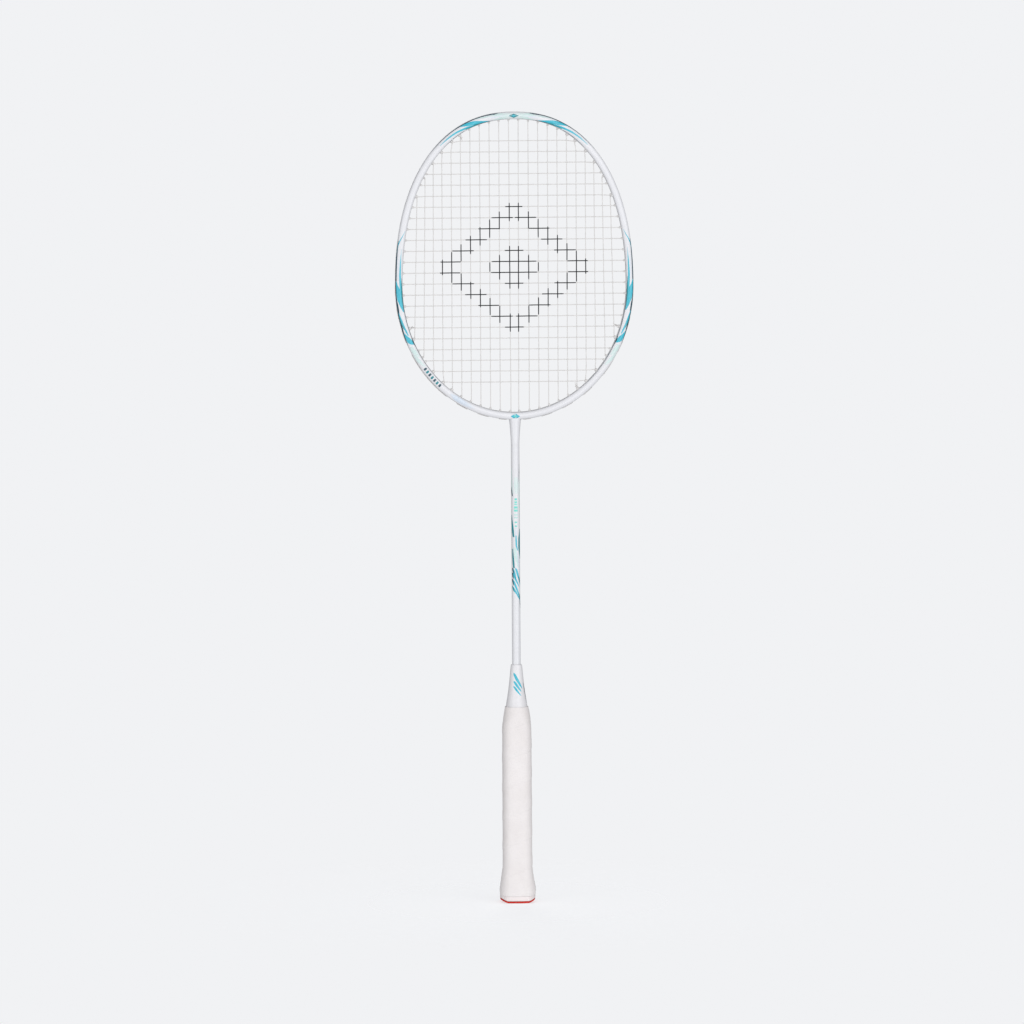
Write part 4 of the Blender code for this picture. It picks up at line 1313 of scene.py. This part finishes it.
def area_light(name, place, size, power):
    data = bpy.data.lights.new(name, "AREA")
    data.shape = "RECTANGLE"
    data.size, data.size_y = size
    data.energy = power
    light = bpy.data.objects.new(name, data)
    light.location = place
    light.rotation_euler = (LIGHT_AIM - Vector(place)).to_track_quat("-Z", "Y").to_euler()
    light.visible_camera = False
    bpy.context.scene.collection.objects.link(light)
    return light


def make_lights():
    area_light("key", (1.05, -2.2, 0.9), (2.4, 2.4), 24.0)
    area_light("fill", (-1.4, -1.9, 0.5), (2.0, 2.2), 12.3)
    area_light("back", (0.0, 2.6, 0.6), (1.2, 1.2), 36.0).visible_glossy = False


def make_world():
    """A pale backdrop all round. As a light it is brightest behind the camera and dim behind the racket."""
    world = bpy.data.worlds.new("studio")
    world.use_nodes = True
    tree = world.node_tree
    tree.nodes.clear()
    seen = node(tree, "ShaderNodeBackground", {"Color": (*BACKDROP, 1.0), "Strength": 1.0}).outputs[0]
    way = node(tree, "ShaderNodeTexCoord").outputs["Generated"]
    depth = node(tree, "ShaderNodeSeparateXYZ", {"Vector": way}).outputs["Y"]
    strength = ranged(tree, depth, FRONT_LIGHT, BACK_LIGHT, -0.8, 0.8)
    lit = node(tree, "ShaderNodeBackground", {"Color": (*BACKDROP, 1.0), "Strength": strength}).outputs[0]
    path = node(tree, "ShaderNodeLightPath").outputs["Is Camera Ray"]
    blend = node(tree, "ShaderNodeMixShader", {0: path, 1: lit, 2: seen}).outputs[0]
    node(tree, "ShaderNodeOutputWorld", {"Surface": blend})
    bpy.context.scene.world = world


def make_floor():
    """A pale floor that melts into the backdrop away from the racket."""
    radii = np.linspace(0.01, FLOOR_RADIUS, 12)[:, None]
    bearing = bearings(64)
    x = radii * np.cos(bearing)
    mesh = skin("floor", np.stack([x, radii * np.sin(bearing), np.full_like(x, FLOOR_Z)], -1))
    material, tree, shader = shader_of("floor_paper")
    connect(tree, shader, {
        "Base Color": (*FLOOR_PAPER, 1.0),
        "Roughness": 0.9,
        "Specular IOR Level": 0.1,
        "Emission Color": (*BACKDROP, 1.0),
        "Emission Strength": FLOOR_GLOW,
    })
    place = node(tree, "ShaderNodeTexCoord").outputs["Object"]
    distance = node(tree, "ShaderNodeVectorMath", {0: place}, operation="LENGTH").outputs["Value"]
    solid = ranged(tree, distance, 0.45, 0.0, 0.02, 0.3)
    clear = node(tree, "ShaderNodeBsdfTransparent").outputs[0]
    blend = node(tree, "ShaderNodeMixShader", {0: solid, 1: clear, 2: shader.outputs[0]}).outputs[0]
    tree.links.new(blend, tree.nodes["Material Output"].inputs["Surface"])
    mesh.materials.append(material)
    floor = bpy.data.objects.new("floor", mesh)
    bpy.context.scene.collection.objects.link(floor)


def main():
    make_camera()
    make_lights()
    make_world()
    make_floor()
    bpy.context.scene.view_settings.view_transform = "Standard"
    make_head_frame()
    make_hoop_graphics()
    make_grommets()
    make_main_string()
    make_cross_string()
    make_shaft()
    make_shaft_graphics()
    make_cone()
    make_cone_graphics()
    make_grip()
    make_butt()
    finish_inner_parts()


main()
